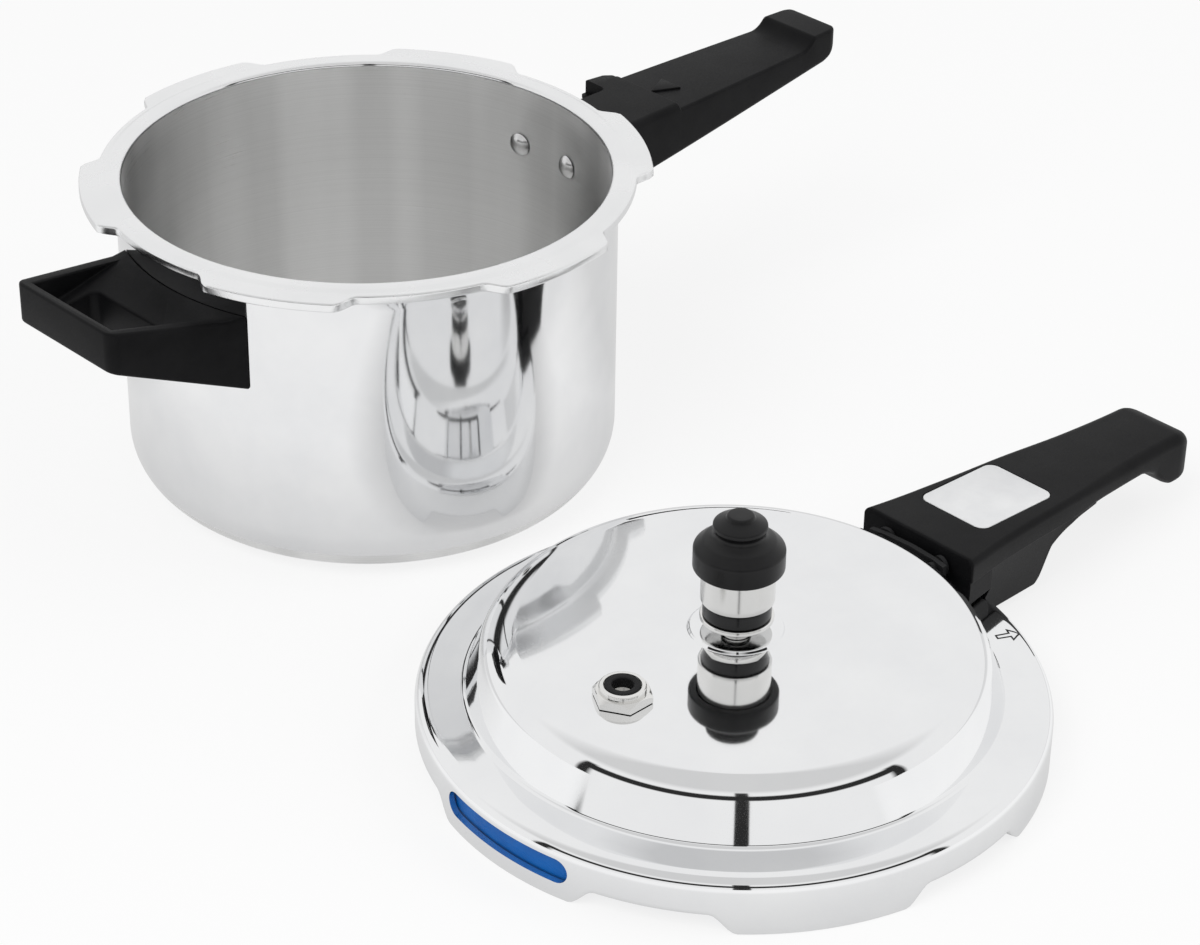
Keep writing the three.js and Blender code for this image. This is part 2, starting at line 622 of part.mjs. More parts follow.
// Helper handle: a tapered loop, rising away from the pot, with a raised edge round a dished top.
function makeHelperHandle(tools) {
  const root = POT_RADIUS - HELPER_ROOT_WRAP;
  const tip = POT_RADIUS + HELPER_REACH;
  const rootTop = POT_HEIGHT - HELPER_ROOT_DROP;
  const barTop = POT_HEIGHT - HELPER_BAR_DROP;
  const side = [
    point(root, rootTop - HELPER_ROOT_DEPTH),
    point(tip, barTop - HELPER_BAR_DEPTH),
    point(tip, barTop),
    point(POT_RADIUS, rootTop),
    point(root, rootTop),
  ];
  const half = HELPER_BAR_HALF - HELPER_CORNER;
  const plan = [
    point(root, -HELPER_ROOT_HALF),
    ...arc(tip - HELPER_CORNER, -half, HELPER_CORNER, -90, 0, 3),
    ...arc(tip - HELPER_CORNER, half, HELPER_CORNER, 0, 90, 3),
    point(root, HELPER_ROOT_HALF),
  ];
  const brim = tip - HELPER_LIP;
  const dishPlan = new THREE.Shape([
    point(root, -HELPER_ROOT_HALF + HELPER_LIP),
    point(brim, -HELPER_BAR_HALF + HELPER_LIP),
    point(brim, HELPER_BAR_HALF - HELPER_LIP),
    point(root, HELPER_ROOT_HALF - HELPER_LIP),
  ]);
  const dishSide = [
    point(root, rootTop),
    point(POT_RADIUS, rootTop),
    point(brim, barTop - HELPER_DISH),
    point(brim, 2 * barTop),
    point(root, 2 * barTop),
  ];
  const dish = common([extruded(dishPlan, 0, 2 * barTop), across(dishSide, HELPER_ROOT_HALF)]);
  const opening = roundedRectangle(FINGER_GAP_WIDTH, 2 * FINGER_GAP_HALF, FINGER_GAP_CORNER);
  const gapX = tip - HELPER_BAR_WIDTH - FINGER_GAP_WIDTH / 2;
  const gap = extruded(new THREE.Shape(opening), 0, 2 * POT_HEIGHT).translate(gapX, 0, 0);
  const room = rod(POT_RADIUS + SEAT_GAP, 0, POT_HEIGHT, TURN_STEPS);
  const span = [extruded(new THREE.Shape(plan), 0, POT_HEIGHT), across(side, HELPER_ROOT_HALF + 1)];
  return common(span, [room, dish, gap, ...tools]);
}

// Lid shell: a pressed dome, a flat flange and a skirt with folded-in lugs and a window for the seal.
function makeLidShell() {
  const footCentre = FLANGE_HEIGHT + FOOT_FILLET;
  const foot = domeWallAt(footCentre) + FOOT_FILLET / Math.cos(domeLean);
  const turn = DOME_LEAN;
  const hole = VENT_SHANK + SEAT_GAP;
  const under = [
    point(hole, lidCeiling),
    ...arc(shoulder, shoulderCentre, SHOULDER_RADIUS - LID_SHEET, 90, turn, 5),
    ...arc(foot, footCentre, FOOT_FILLET + LID_SHEET, 180 + turn, 270, 3),
    ...arc(flangeEnd, edgeCentre, EDGE_RADIUS - LID_SHEET, 90, 0, 4),
    point(skirtInner, 0),
  ];
  const over = [
    point(skirtOuter, 0),
    ...arc(flangeEnd, edgeCentre, EDGE_RADIUS, 0, 90, 5),
    ...arc(foot, footCentre, FOOT_FILLET, 270, 180 + turn, 3),
    ...arc(shoulder, shoulderCentre, SHOULDER_RADIUS, turn, 90, 5),
    point(BOSS_RADIUS + BOSS_RISE / 2, lidTop),
    point(BOSS_RADIUS, bossTop),
    point(hole, bossTop),
  ];
  const shell = turned([...under, ...over, under[0]]);
  const bearings = Array.from({ length: LUG_COUNT }, (_, i) => LUG_BEARING + (360 * i) / LUG_COUNT);
  const lugInner = skirtInner - FOLD_REACH;
  const lugOuter = (skirtInner + skirtOuter) / 2;
  const lugs = bearings.map((bearing) =>
    swung(sector(lugInner, lugOuter, FOLD_ANGLE - 2, 0, FOLD_HEIGHT, FOLD_HEIGHT + LID_SHEET), bearing),
  );
  const half = skirtOuter * Math.sin(radians(FOLD_ANGLE / 2));
  const recess = new THREE.Shape([
    point(-half - FOLD_SLOPE / 4, -1),
    point(half + FOLD_SLOPE / 4, -1),
    point(half, FOLD_HEIGHT / 5),
    point(half - (FOLD_SLOPE * 3) / 4, (FOLD_HEIGHT * 4) / 5),
    point(half - FOLD_SLOPE * 1.5, FOLD_HEIGHT),
    point(-half + FOLD_SLOPE * 1.5, FOLD_HEIGHT),
    point(-half + (FOLD_SLOPE * 3) / 4, (FOLD_HEIGHT * 4) / 5),
    point(-half, FOLD_HEIGHT / 5),
  ]);
  const recesses = bearings.map((bearing) => swung(outward(recess, foot, skirtOuter + 5), bearing));
  const windowLength = 2 * skirtOuter * Math.sin(radians(WINDOW_ANGLE / 2));
  const windowOutline = roundedRectangle(windowLength, WINDOW_HEIGHT, WINDOW_HEIGHT / 2);
  const slot = outward(new THREE.Shape(windowOutline), foot, skirtOuter + 5).translate(0, 0, WINDOW_CENTRE);
  const plugHole = rod(PLUG_SHANK + SEAT_GAP, 0, lidTop + 1).translate(PLUG_REACH, 0, 0);
  const holes = [swung(slot, 180), swung(plugHole, PLUG_BEARING), ...rivetHoles(lidBracket)];
  return joined([joined([shell], recesses), ...lugs], holes);
}

// Sealing ring: a rubber ring with a thin inner lip, held in the skirt above the lugs.
function makeSealingRing() {
  const outer = skirtInner - 2 * SEAT_GAP;
  const bottom = FOLD_HEIGHT + LID_SHEET + SEAT_GAP;
  const top = edgeCentre + outer - flangeEnd;
  const inner = outer - RING_WIDTH;
  return turned([
    point(inner, top - RING_LIP),
    point(inner + RING_WIDTH / 2, top - RING_LIP),
    point(inner + RING_WIDTH / 2 + RING_LIP, bottom),
    point(outer, bottom),
    ...arc(flangeEnd, edgeCentre, outer - flangeEnd, 0, 90, 3),
    point(inner, top),
    point(inner, top - RING_LIP),
  ]);
}

// Vent tube: a drilled pipe through the lid, with a nut and a washer under it.
function makeVentTube() {
  const foot = bossTop + SEAT_GAP;
  const end = lidCeiling - WASHER_SHEET - NUT_HEIGHT - 2;
  return turned(
    [
      point(VENT_BORE, end),
      point(VENT_SHANK, end),
      point(VENT_SHANK, foot),
      point(VENT_RADIUS, foot),
      point(VENT_RADIUS, ventTop - VENT_NOSE),
      point(VENT_BORE + 1, ventTop),
      point(VENT_BORE, ventTop),
      point(VENT_BORE, end),
    ],
    SMALL_STEPS,
  );
}

function makeWasher(hole, flats) {
  const top = lidCeiling - SEAT_GAP;
  return ring(hole + SEAT_GAP, flats / Math.sqrt(3) + WASHER_MARGIN, top - WASHER_SHEET, top, SMALL_STEPS);
}

function makeNut(hole, flats) {
  const top = lidCeiling - WASHER_SHEET - 2 * SEAT_GAP;
  return hexNut(flats, hole + SEAT_GAP, top - NUT_HEIGHT, top);
}

// Weight: a steel body with a groove for its band and a neck inside the cap, bored to slide on the vent.
function makeWeightBody() {
  const bore = VENT_RADIUS + RUNNING_GAP;
  const bandBottom = weightBottom + WEIGHT_RIM;
  const bandTop = bandBottom + BAND_HEIGHT;
  const grooveRadius = BAND_RADIUS - BAND_SHEET;
  const boreTop = ventTop + RUNNING_GAP;
  const neckTop = weightBottom + WEIGHT_RIM + BAND_HEIGHT + WEIGHT_STEEL + CAP_SIDE;
  return turned(
    [
      point(bore, weightBottom),
      point(WEIGHT_RADIUS, weightBottom),
      point(WEIGHT_RADIUS, bandBottom),
      point(grooveRadius, bandBottom),
      point(grooveRadius, bandTop),
      point(WEIGHT_RADIUS, bandTop),
      point(WEIGHT_RADIUS, weightShoulder),
      point(WEIGHT_NECK_RADIUS, weightShoulder),
      point(WEIGHT_NECK_RADIUS, neckTop),
      point(PIN_RADIUS + SEAT_GAP, neckTop),
      point(PIN_RADIUS + SEAT_GAP, boreTop),
      point(bore, boreTop),
      point(bore, weightBottom),
    ],
    SMALL_STEPS,
  );
}

function makeWeightBand() {
  const bottom = weightBottom + WEIGHT_RIM + SEAT_GAP;
  const top = bottom + BAND_HEIGHT - 2 * SEAT_GAP;
  return ring(BAND_RADIUS - BAND_SHEET + SEAT_GAP, BAND_RADIUS, bottom, top, SMALL_STEPS);
}

// The needle that closes the vent, held in the weight's neck.
function makeWeightPin() {
  const seat = ventTop + SEAT_GAP;
  return turned(
    [
      point(0, ventTop - PIN_TIP),
      point(VENT_BORE - RUNNING_GAP, ventTop - PIN_TIP / 2),
      point(VENT_BORE - RUNNING_GAP, seat),
      point(PIN_RADIUS, seat),
      point(PIN_RADIUS, seat + PIN_LENGTH),
      point(0, seat + PIN_LENGTH),
    ],
    SMALL_STEPS / 2,
  );
}

// Cap: a black moulding with a flared knob, pressed over the weight's neck.
function makeWeightCap() {
  const bottom = weightShoulder - CAP_OVERLAP;
  const sideTop = bottom + CAP_SIDE;
  const top = bottom + CAP_HEIGHT;
  const knobBottom = top - KNOB_HEIGHT;
  const neckTop = weightBottom + WEIGHT_RIM + BAND_HEIGHT + WEIGHT_STEEL + CAP_SIDE;
  const shoulderStep = (CAP_RADIUS - CAP_SHOULDER_RADIUS) / 3;
  return turned(
    [
      point(WEIGHT_RADIUS + SEAT_GAP, bottom),
      point(CAP_RADIUS, bottom),
      point(CAP_RADIUS, sideTop),
      point(CAP_RADIUS - shoulderStep, sideTop + (knobBottom - sideTop) / 2),
      point(CAP_SHOULDER_RADIUS, knobBottom),
      point(KNOB_RADIUS, knobBottom + KNOB_HEIGHT / 3),
      point(KNOB_RADIUS, knobBottom + KNOB_HEIGHT / 2),
      point(KNOB_TOP_RADIUS, top - KNOB_HEIGHT / 6),
      point(KNOB_TOP_RADIUS, top),
      point(0, top),
      point(0, neckTop + SEAT_GAP),
      point(WEIGHT_NECK_RADIUS + SEAT_GAP, neckTop + SEAT_GAP),
      point(WEIGHT_NECK_RADIUS + SEAT_GAP, weightShoulder + SEAT_GAP),
      point(WEIGHT_RADIUS + SEAT_GAP, weightShoulder + SEAT_GAP),
      point(WEIGHT_RADIUS + SEAT_GAP, bottom),
    ],
    SMALL_STEPS,
  );
}

// Safety plug: a hexagon with a round top, a rubber insert in it and a shank through the lid.
function makePlugBody() {
  const seat = lidTop + SEAT_GAP;
  const top = lidTop + PLUG_HEIGHT;
  const end = lidCeiling - WASHER_SHEET - NUT_HEIGHT - 2;
  const corner = PLUG_FLATS / Math.sqrt(3);
  const hexagon = extruded(new THREE.Shape(arc(0, 0, corner, 0, 300, 5)), seat, seat + PLUG_HEX);
  const cone = turned(
    [point(0, seat), point(corner, seat + PLUG_HEX / 2), point(PLUG_TOP_RADIUS, top), point(0, top)],
    SMALL_STEPS,
  );
  const skirt = rod(PLUG_FLATS, seat - 1, seat + PLUG_HEX / 2);
  const head = common([hexagon, joined([cone, skirt])]);
  return joined(
    [head, rod(PLUG_TOP_RADIUS, seat, top), rod(PLUG_SHANK, end, seat + 1)],
    [
      rod(PLUG_PASSAGE, end - 1, top + 1),
      rod(PLUG_SEAT_RADIUS, top - PLUG_SEAT_DEPTH, top + 1),
    ],
  );
}

function makePlugInsert() {
  const top = lidTop + PLUG_HEIGHT;
  const bottom = top - PLUG_SEAT_DEPTH + SEAT_GAP;
  return ring(PLUG_PASSAGE, PLUG_SEAT_RADIUS - SEAT_GAP, bottom, top + SEAT_GAP, SMALL_STEPS);
}

// Lid handle: a wide front that follows the dome, a web outside the skirt, a slim grip and a hooked tip.
function makeLidHandle(tools) {
  const front = lidHandleFront;
  const tip = lidHandleTip;
  const web = skirtOuter + WEB_GAP;
  const webEnd = web + WEB_LENGTH;
  const topAt = (x) => lidHandleTop - (x - front) * Math.tan(lidHandleTilt);
  const flareEnd = webEnd + WEB_FLARE;
  const grip = (x) => topAt(x) - LID_GRIP_DEPTH;
  const hook = tip - HOOK_LENGTH;
  const hookBottom = topAt(tip) - HOOK_DEPTH;
  const rounding = LID_HANDLE_TIP_ROUNDING;
  const hookRounding = HOOK_DEPTH - rounding;
  const side = [
    point(DOME_RADIUS, lidHandleTop - LID_HANDLE_FRONT_DEPTH),
    point(web, lidHandleTop - LID_HANDLE_FRONT_DEPTH),
    point(web, WEB_BOTTOM),
    point(webEnd, WEB_BOTTOM),
    point(webEnd + WEB_FLARE / 7, WEB_BOTTOM + (grip(webEnd) - WEB_BOTTOM) * 0.65),
    point(webEnd + WEB_FLARE / 2, grip(flareEnd) - LID_GRIP_DEPTH / 4),
    point(flareEnd, grip(flareEnd)),
    point(hook - HOOK_BLEND, grip(hook - HOOK_BLEND)),
    point(hook, grip(hook) - LID_GRIP_DEPTH / 3),
    point(hook + HOOK_BLEND, hookBottom + HOOK_BLEND / 4),
    point(hook + 1.4 * HOOK_BLEND, hookBottom),
    ...arc(tip - hookRounding, hookBottom + hookRounding, hookRounding, -90, 0, 3),
    ...arc(tip - rounding, topAt(tip) - rounding, rounding, 15, 85, 4),
    point(DOME_RADIUS, topAt(DOME_RADIUS)),
  ];
  const half = LID_HANDLE_TIP_HALF - rounding;
  const edge = [
    point(DOME_RADIUS, LID_HANDLE_FRONT_HALF + 1),
    point(front + (webEnd - front) * 0.45, (LID_HANDLE_FRONT_HALF + LID_HANDLE_WAIST_HALF) / 2 - 0.6),
    point(flareEnd - WEB_FLARE / 2, LID_HANDLE_WAIST_HALF),
    ...arc(tip - rounding, half, rounding, 90, 0, 4),
  ];
  const mirrored = edge.map((p) => point(p.x, -p.y));
  const plan = new THREE.Shape([...mirrored, ...edge.reverse()]);
  const hollow = rod(LID_FRONT_CURVE, 0, 2 * lidHandleTop, TURN_STEPS).translate(front - LID_FRONT_CURVE, 0, 0);
  const room = turned([
    point(0, 0),
    point(skirtOuter + SEAT_GAP, 0),
    ...arc(flangeEnd, edgeCentre, EDGE_RADIUS + SEAT_GAP, 0, 90),
    point(0, FLANGE_HEIGHT + SEAT_GAP),
  ]);
  const blockBottom = lidHandleTop - LID_HANDLE_FRONT_DEPTH;
  const wide = LID_HANDLE_FRONT_HALF + 2;
  const right = [point(0, 0), point(WEB_FOOT_HALF, 0), point(WEB_TOP_HALF, blockBottom), point(wide, blockBottom)];
  const left = right.slice(1).map((p) => point(-p.x, p.y));
  const roof = [point(wide, 2 * lidHandleTop), point(-wide, 2 * lidHandleTop)];
  const draft = outward(new THREE.Shape([...right, ...roof, ...left.reverse()]), DOME_RADIUS, tip + 1);
  const span = [extruded(plan, 0, 2 * lidHandleTop), across(side, wide), draft];
  return common(span, [hollow, room, badgeForm(SEAT_GAP), ...tools]);
}

// The badge plate on the handle's sloping top, or the recess for it when grown.
function badgeForm(grow = 0) {
  const outline = roundedRectangle(BADGE_LENGTH + 2 * grow, BADGE_WIDTH + 2 * grow, BADGE_CORNER + grow);
  const lift = grow > 0 ? 1 : 0;
  const plate = extruded(new THREE.Shape(outline), -BADGE_SHEET - grow, lift);
  plate.translate(BADGE_REACH + BADGE_LENGTH / 2, BADGE_ASIDE, 0);
  plate.rotateY(lidHandleTilt);
  return plate.translate(lidHandleFront, 0, lidHandleTop);
}

// The pot and its handles
addPiece(cooker, "pot_body", makePotBody(), POLISHED);
const handleTools = fasten(cooker, "pot_handle", longBracket);
addPiece(cooker, "pot_handle", makePotHandle(handleTools), BAKELITE);
const helperTools = fasten(helper, "helper_handle", helperBracket);
addPiece(helper, "helper_handle", makeHelperHandle(helperTools), BAKELITE);

// The lid with its seal, valve and plug
addPiece(lid, "lid_shell", makeLidShell(), POLISHED);
addPiece(lid, "sealing_ring", makeSealingRing(), SEAL);
addPiece(lid, "vent_tube", makeVentTube(), STEEL);
addPiece(lid, "vent_tube_washer", makeWasher(VENT_SHANK, VENT_NUT_FLATS), RUBBER);
addPiece(lid, "vent_tube_nut", makeNut(VENT_SHANK, VENT_NUT_FLATS), STEEL);
addPiece(lid, "weight_body", makeWeightBody(), STEEL);
addPiece(lid, "weight_band", makeWeightBand(), BAKELITE);
addPiece(lid, "weight_pin", makeWeightPin(), STEEL);
addPiece(lid, "weight_cap", makeWeightCap(), BAKELITE);

const plugGroup = new THREE.Group();
plugGroup.position.set(PLUG_REACH, 0, 0).applyAxisAngle(new THREE.Vector3(0, 0, 1), radians(PLUG_BEARING));
lid.add(plugGroup);
addPiece(plugGroup, "safety_plug_body", makePlugBody(), STEEL);
addPiece(plugGroup, "safety_plug_insert", makePlugInsert(), RUBBER);
addPiece(plugGroup, "safety_plug_washer", makeWasher(PLUG_SHANK, PLUG_FLATS), RUBBER);
addPiece(plugGroup, "safety_plug_nut", makeNut(PLUG_SHANK, PLUG_FLATS), STEEL);

const lidHandleTools = fasten(lid, "lid_handle", lidBracket);
addPiece(lid, "lid_handle", makeLidHandle(lidHandleTools), BAKELITE);
addPiece(lid, "lid_handle_badge", badgeForm(), BADGE);

export default cooker;
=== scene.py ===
"""Looks of a pressure cooker: a polished pot, its lid laid beside it, black moulded handles
and a weight valve.
"""

import json
import math

import bmesh
import bpy
from mathutils import Matrix, Vector


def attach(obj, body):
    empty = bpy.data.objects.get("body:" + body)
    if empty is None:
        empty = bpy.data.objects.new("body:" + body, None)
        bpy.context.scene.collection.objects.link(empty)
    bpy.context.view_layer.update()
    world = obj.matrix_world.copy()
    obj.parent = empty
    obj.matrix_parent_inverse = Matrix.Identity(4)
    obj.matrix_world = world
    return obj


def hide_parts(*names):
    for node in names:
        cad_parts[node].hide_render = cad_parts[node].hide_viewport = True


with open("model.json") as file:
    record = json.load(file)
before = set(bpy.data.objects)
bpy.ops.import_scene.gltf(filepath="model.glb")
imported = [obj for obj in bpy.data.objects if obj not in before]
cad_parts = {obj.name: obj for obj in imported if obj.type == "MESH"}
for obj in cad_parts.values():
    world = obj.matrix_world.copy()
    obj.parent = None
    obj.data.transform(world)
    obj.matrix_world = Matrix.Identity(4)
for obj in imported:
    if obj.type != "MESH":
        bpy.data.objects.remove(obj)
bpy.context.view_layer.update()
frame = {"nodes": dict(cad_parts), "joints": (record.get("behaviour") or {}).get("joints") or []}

MM = 0.001
nodes = frame["nodes"]
lid_turn = next(joint for joint in frame["joints"] if joint["name"] == "lid_turn")
LID = Vector(lid_turn["pos_m"]) / MM  # the lid's axis at the table, in millimetres

# Sizes in millimetres, as the solids have them
SEAT_GAP = 0.3  # between pieces that touch
POT_RADIUS = 91.4
POT_INNER = 88.8
POT_HEIGHT = 122.5
POT_FLOOR = 3.4
POT_CORNER = 20.0
RIM_TOP = 121.6
RIM_BOTTOM = 118.0
RIM_ROOT = 112.0  # where the wall turns into the rim
RIM_RADIUS = 98.0
BEAD_FOOT = POT_INNER + 7.4  # the raised bead round the mouth
BEAD_CREST = POT_INNER + 5.6
LUG_RADIUS = 104.0
LUG_PITCH = 60.0  # degrees from one lug to the next
LUG_HALF = 15.0  # degrees
LUG_EASE = 2.2  # degrees over which the rim swells into a lug
BRACKET = 2.3  # outer face of a handle's bracket, out from the wall
SHEET = 2.2  # thickness of the lid
SKIRT_OUTER = 106.6
SKIRT_INNER = SKIRT_OUTER - SHEET
FLANGE = 21.0
EDGE = 5.0  # rounding of the flange's outer edge
DOME_RADIUS = 86.0
SHOULDER = 13.0  # rounding of the dome's edge
FOOT = 2.0  # rounding between the dome and the flange
LEAN = 20.0  # degrees that the dome's wall leans in
LID_TOP = 43.0
BOSS_TOP = 44.2
BOSS_RADIUS = 15.6
VENT_HOLE = 4.3
FOLD_HEIGHT = 6.7  # underside of the skirt's folded stretches
FOLD_INNER = 98.9
FOLD_FLAT = 10.0  # degrees from a fold's middle to where it starts to ease out
FOLD_END = 15.0  # degrees
HEM_TOP = 10.4  # the skirt is the same all round above this height
WINDOW_LENGTH = 55.2
WINDOW_HEIGHT = 9.2
WINDOW_MIDDLE = 10.8
PLUG_REACH = 55.5  # from the lid's axis
PLUG_BEARING = math.radians(183)
PLUG_HOLE = 6.3
HANDLE_TOP = 105.2  # of the pot's long handle
LID_HANDLE_FRONT = 96.0
LID_HANDLE_TIP = 232.6
LID_HANDLE_TOP = 40.1
LID_HANDLE_SLOPE = 7.2 / (LID_HANDLE_TIP - LID_HANDLE_FRONT)
LID_PLATE = 31.2  # bottom of the lid handle's bracket
EDGE_RING = SKIRT_OUTER - EDGE  # where the flange starts to round over
EDGE_CENTRE = FLANGE - EDGE
SHOULDER_RING = DOME_RADIUS - SHOULDER
SHOULDER_CENTRE = LID_TOP - SHOULDER
FOOT_CENTRE = FLANGE + FOOT


def dome_wall(height):
    """Radius of the dome's leaning wall at a height."""
    lean = math.radians(LEAN)
    return SHOULDER_RING + (SHOULDER - (height - SHOULDER_CENTRE) * math.sin(lean)) / math.cos(lean)


FOOT_RING = dome_wall(FOOT_CENTRE) + FOOT / math.cos(math.radians(LEAN))


# Curves in a plane

def arc(x, y, radius, start, end, steps=10):
    """Points on an arc, angles in degrees."""
    points = []
    for i in range(steps + 1):
        angle = math.radians(start + (end - start) * i / steps)
        points.append((x + radius * math.cos(angle), y + radius * math.sin(angle)))
    return points


def filleted(corners, steps=5):
    """A path through (x, y, radius) corners, each rounded by its radius."""
    path = []
    for i, (x, y, radius) in enumerate(corners):
        if radius == 0 or i in (0, len(corners) - 1):
            path.append((x, y))
            continue
        here = Vector((x, y))
        back = (Vector(corners[i - 1][:2]) - here).normalized()
        ahead = (Vector(corners[i + 1][:2]) - here).normalized()
        half = back.angle(ahead) / 2
        reach = radius / math.tan(half)
        centre = here + (back + ahead).normalized() * radius / math.sin(half)
        first = here + back * reach - centre
        last = here + ahead * reach - centre
        sweep = first.angle_signed(last)
        for k in range(steps + 1):
            spoke = Matrix.Rotation(-sweep * k / steps, 2) @ first
            path.append(tuple(centre + spoke))
    return path


def densified(path, longest):
    """The same path with long stretches split."""
    out = [path[0]]
    for a, b in zip(path, path[1:]):
        count = max(1, math.ceil(math.dist(a, b) / longest))
        for k in range(1, count + 1):
            out.append(tuple(p + (q - p) * k / count for p, q in zip(a, b)))
    return out


def circle_drop(x, start, radius):
    """How far a circle has fallen at x, from its top at start."""
    run = min(max(0.0, x - start), radius)
    return radius - math.sqrt(radius * radius - run * run)


def smooth_step(low, high, value):
    """0 below low, 1 above high, with a soft change between."""
    t = min(1.0, max(0.0, (value - low) / (high - low)))
    return t * t * (3 - 2 * t)


def through(points):
    """A smooth function through rising x values that keeps their order."""
    xs = [p[0] for p in points]
    ys = [p[1] for p in points]
    slopes = [(ys[i + 1] - ys[i]) / (xs[i + 1] - xs[i]) for i in range(len(xs) - 1)]
    tangents = [slopes[0]]
    for a, b in zip(slopes, slopes[1:]):
        tangents.append(0.0 if a * b <= 0 else 2 * a * b / (a + b))
    tangents.append(slopes[-1])

    def at(x):
        x = min(max(x, xs[0]), xs[-1])
        i = max(k for k in range(len(xs) - 1) if xs[k] <= x) if x > xs[0] else 0
        width = xs[i + 1] - xs[i]
        t = (x - xs[i]) / width
        return (
            (1 + 2 * t) * (1 - t) ** 2 * ys[i]
            + t * (1 - t) ** 2 * width * tangents[i]
            + t * t * (3 - 2 * t) * ys[i + 1]
            + t * t * (t - 1) * width * tangents[i + 1]
        )

    return at


# Meshes

MERGE = 1e-6  # metres between points that count as one
ON_AXIS = 1e-9  # a radius below this is the axis
LONGEST = 2.0  # millimetres between points of a turned profile
FULLEST = 0.98  # share of a half-width that a rounded corner may take
DEEPEST = 0.49  # share of a height


def mesh_object(name, vertices, faces, offset=(0, 0, 0), sharp=40):
    """A smooth-shaded object from millimetre points, sharp above an angle."""
    shift = Vector(offset)
    mesh = bpy.data.meshes.new(name)
    mesh.from_pydata([tuple((Vector(v) + shift) * MM) for v in vertices], [], faces)
    tidy(mesh)
    thing = bpy.data.objects.new(name, mesh)
    bpy.context.scene.collection.objects.link(thing)
    shade(mesh, sharp)
    return thing


def tidy(mesh):
    """Merges doubled points and points every face outwards."""
    work = bmesh.new()
    work.from_mesh(mesh)
    bmesh.ops.remove_doubles(work, verts=work.verts, dist=MERGE)
    bmesh.ops.recalc_face_normals(work, faces=work.faces)
    work.to_mesh(mesh)
    work.free()


def shade(mesh, sharp):
    """Smooth shading, except at edges above an angle in degrees."""
    mesh.shade_smooth()
    mesh.set_sharp_from_angle(angle=math.radians(sharp))


def turned(name, profile_at, offset=(0, 0, 0), steps=192, sharp=40):
    """A closed (radius, height) profile turned about Z; profile_at gives it for an angle in degrees."""
    rows = [profile_at(360 * i / steps) for i in range(steps)]
    count = len(rows[0])
    vertices = []
    for i, row in enumerate(rows):
        angle = 2 * math.pi * i / steps
        vertices += [(r * math.cos(angle), r * math.sin(angle), z) for r, z in row]
    faces = []
    for i in range(steps):
        j = (i + 1) % steps
        for k in range(count - 1):
            corners = [i * count + k, j * count + k, j * count + k + 1, i * count + k + 1]
            if rows[i][k][0] < ON_AXIS:
                corners.pop(1)
            elif rows[i][k + 1][0] < ON_AXIS:
                corners.pop(2)
            faces.append(corners)
    return mesh_object(name, vertices, faces, offset, sharp)


def plain_turned(name, corners, offset=(0, 0, 0), steps=96):
    """A form turned from (radius, height, rounding) corners."""
    path = densified(filleted(corners), LONGEST)
    return turned(name, lambda angle: path, offset, steps)


def section(top, bottom, half, upper, lower, foot=None, steps=6):
    """A ring of (y, z) points, half wide above and foot wide below, with rounded corners."""
    foot = half if foot is None else foot
    upper = min(upper, half * FULLEST, (top - bottom) * DEEPEST)
    lower = min(lower, foot * FULLEST, (top - bottom) * DEEPEST)
    ring = arc(half - upper, top - upper, upper, 0, 90, steps)
    ring += arc(-half + upper, top - upper, upper, 90, 180, steps)
    ring += arc(-foot + lower, bottom + lower, lower, 180, 270, steps)
    ring += arc(foot - lower, bottom + lower, lower, 270, 360, steps)
    return ring


def tube_faces(rings, count):
    """The faces of a tube through rings of count points each, with both ends closed."""
    faces = []
    for i in range(rings - 1):
        for k in range(count):
            m = (k + 1) % count
            faces.append([i * count + k, i * count + m, (i + 1) * count + m, (i + 1) * count + k])
    return faces + [list(range(count))[::-1], [(rings - 1) * count + k for k in range(count)]]


def loft(name, stations, bend):
    """A closed form along X through (x, ring of y and z) stations; bend moves x by the place across."""
    vertices = [(x + bend(x, y), y, z) for x, ring in stations for y, z in ring]
    return mesh_object(name, vertices, tube_faces(len(stations), len(stations[0][1])))


def prism(name, outline, low, high, axes="xyz", offset=(0, 0, 0)):
    """An outline extruded along the third of the named axes."""
    order = ["xyz".index(a) for a in axes]
    vertices = []
    for height in (low, high):
        for a, b in outline:
            point = [0, 0, 0]
            point[order[0]], point[order[1]], point[order[2]] = a, b, height
            vertices.append(tuple(point))
    return mesh_object(name, vertices, tube_faces(2, len(outline)), offset, 30)


def rounded_rectangle(length, width, corner, centre=(0, 0), steps=8):
    """The outline of a rectangle with round corners."""
    x, y = length / 2 - corner, width / 2 - corner
    outline = arc(x, y, corner, 0, 90, steps) + arc(-x, y, corner, 90, 180, steps)
    outline += arc(-x, -y, corner, 180, 270, steps) + arc(x, -y, corner, 270, 360, steps)
    return [(a + centre[0], b + centre[1]) for a, b in outline]


def applied(thing):
    """Replaces an object's mesh by its mesh after modifiers."""
    bpy.context.view_layer.update()
    graph = bpy.context.evaluated_depsgraph_get()
    mesh = bpy.data.meshes.new_from_object(thing.evaluated_get(graph))
    thing.modifiers.clear()
    thing.data = mesh
    return thing


def boolean(thing, tools, operation="DIFFERENCE", sharp=40):
    """Cuts or joins tools with an object and deletes them."""
    for tool in tools:
        modifier = thing.modifiers.new("cut", "BOOLEAN")
        modifier.operation = operation
        modifier.solver = "EXACT"
        modifier.object = tool
        applied(thing)
        bpy.data.objects.remove(tool)
    shade(thing.data, sharp)
    return thing


def bevelled(thing, width, segments=3, angle=30, sharp=50):
    """Rounds the edges of an object that are sharper than an angle."""
    modifier = thing.modifiers.new("edges", "BEVEL")
    modifier.width = width * MM
    modifier.segments = segments
    modifier.limit_method = "ANGLE"
    modifier.angle_limit = math.radians(angle)
    applied(thing)
    shade(thing.data, sharp)
    return thing


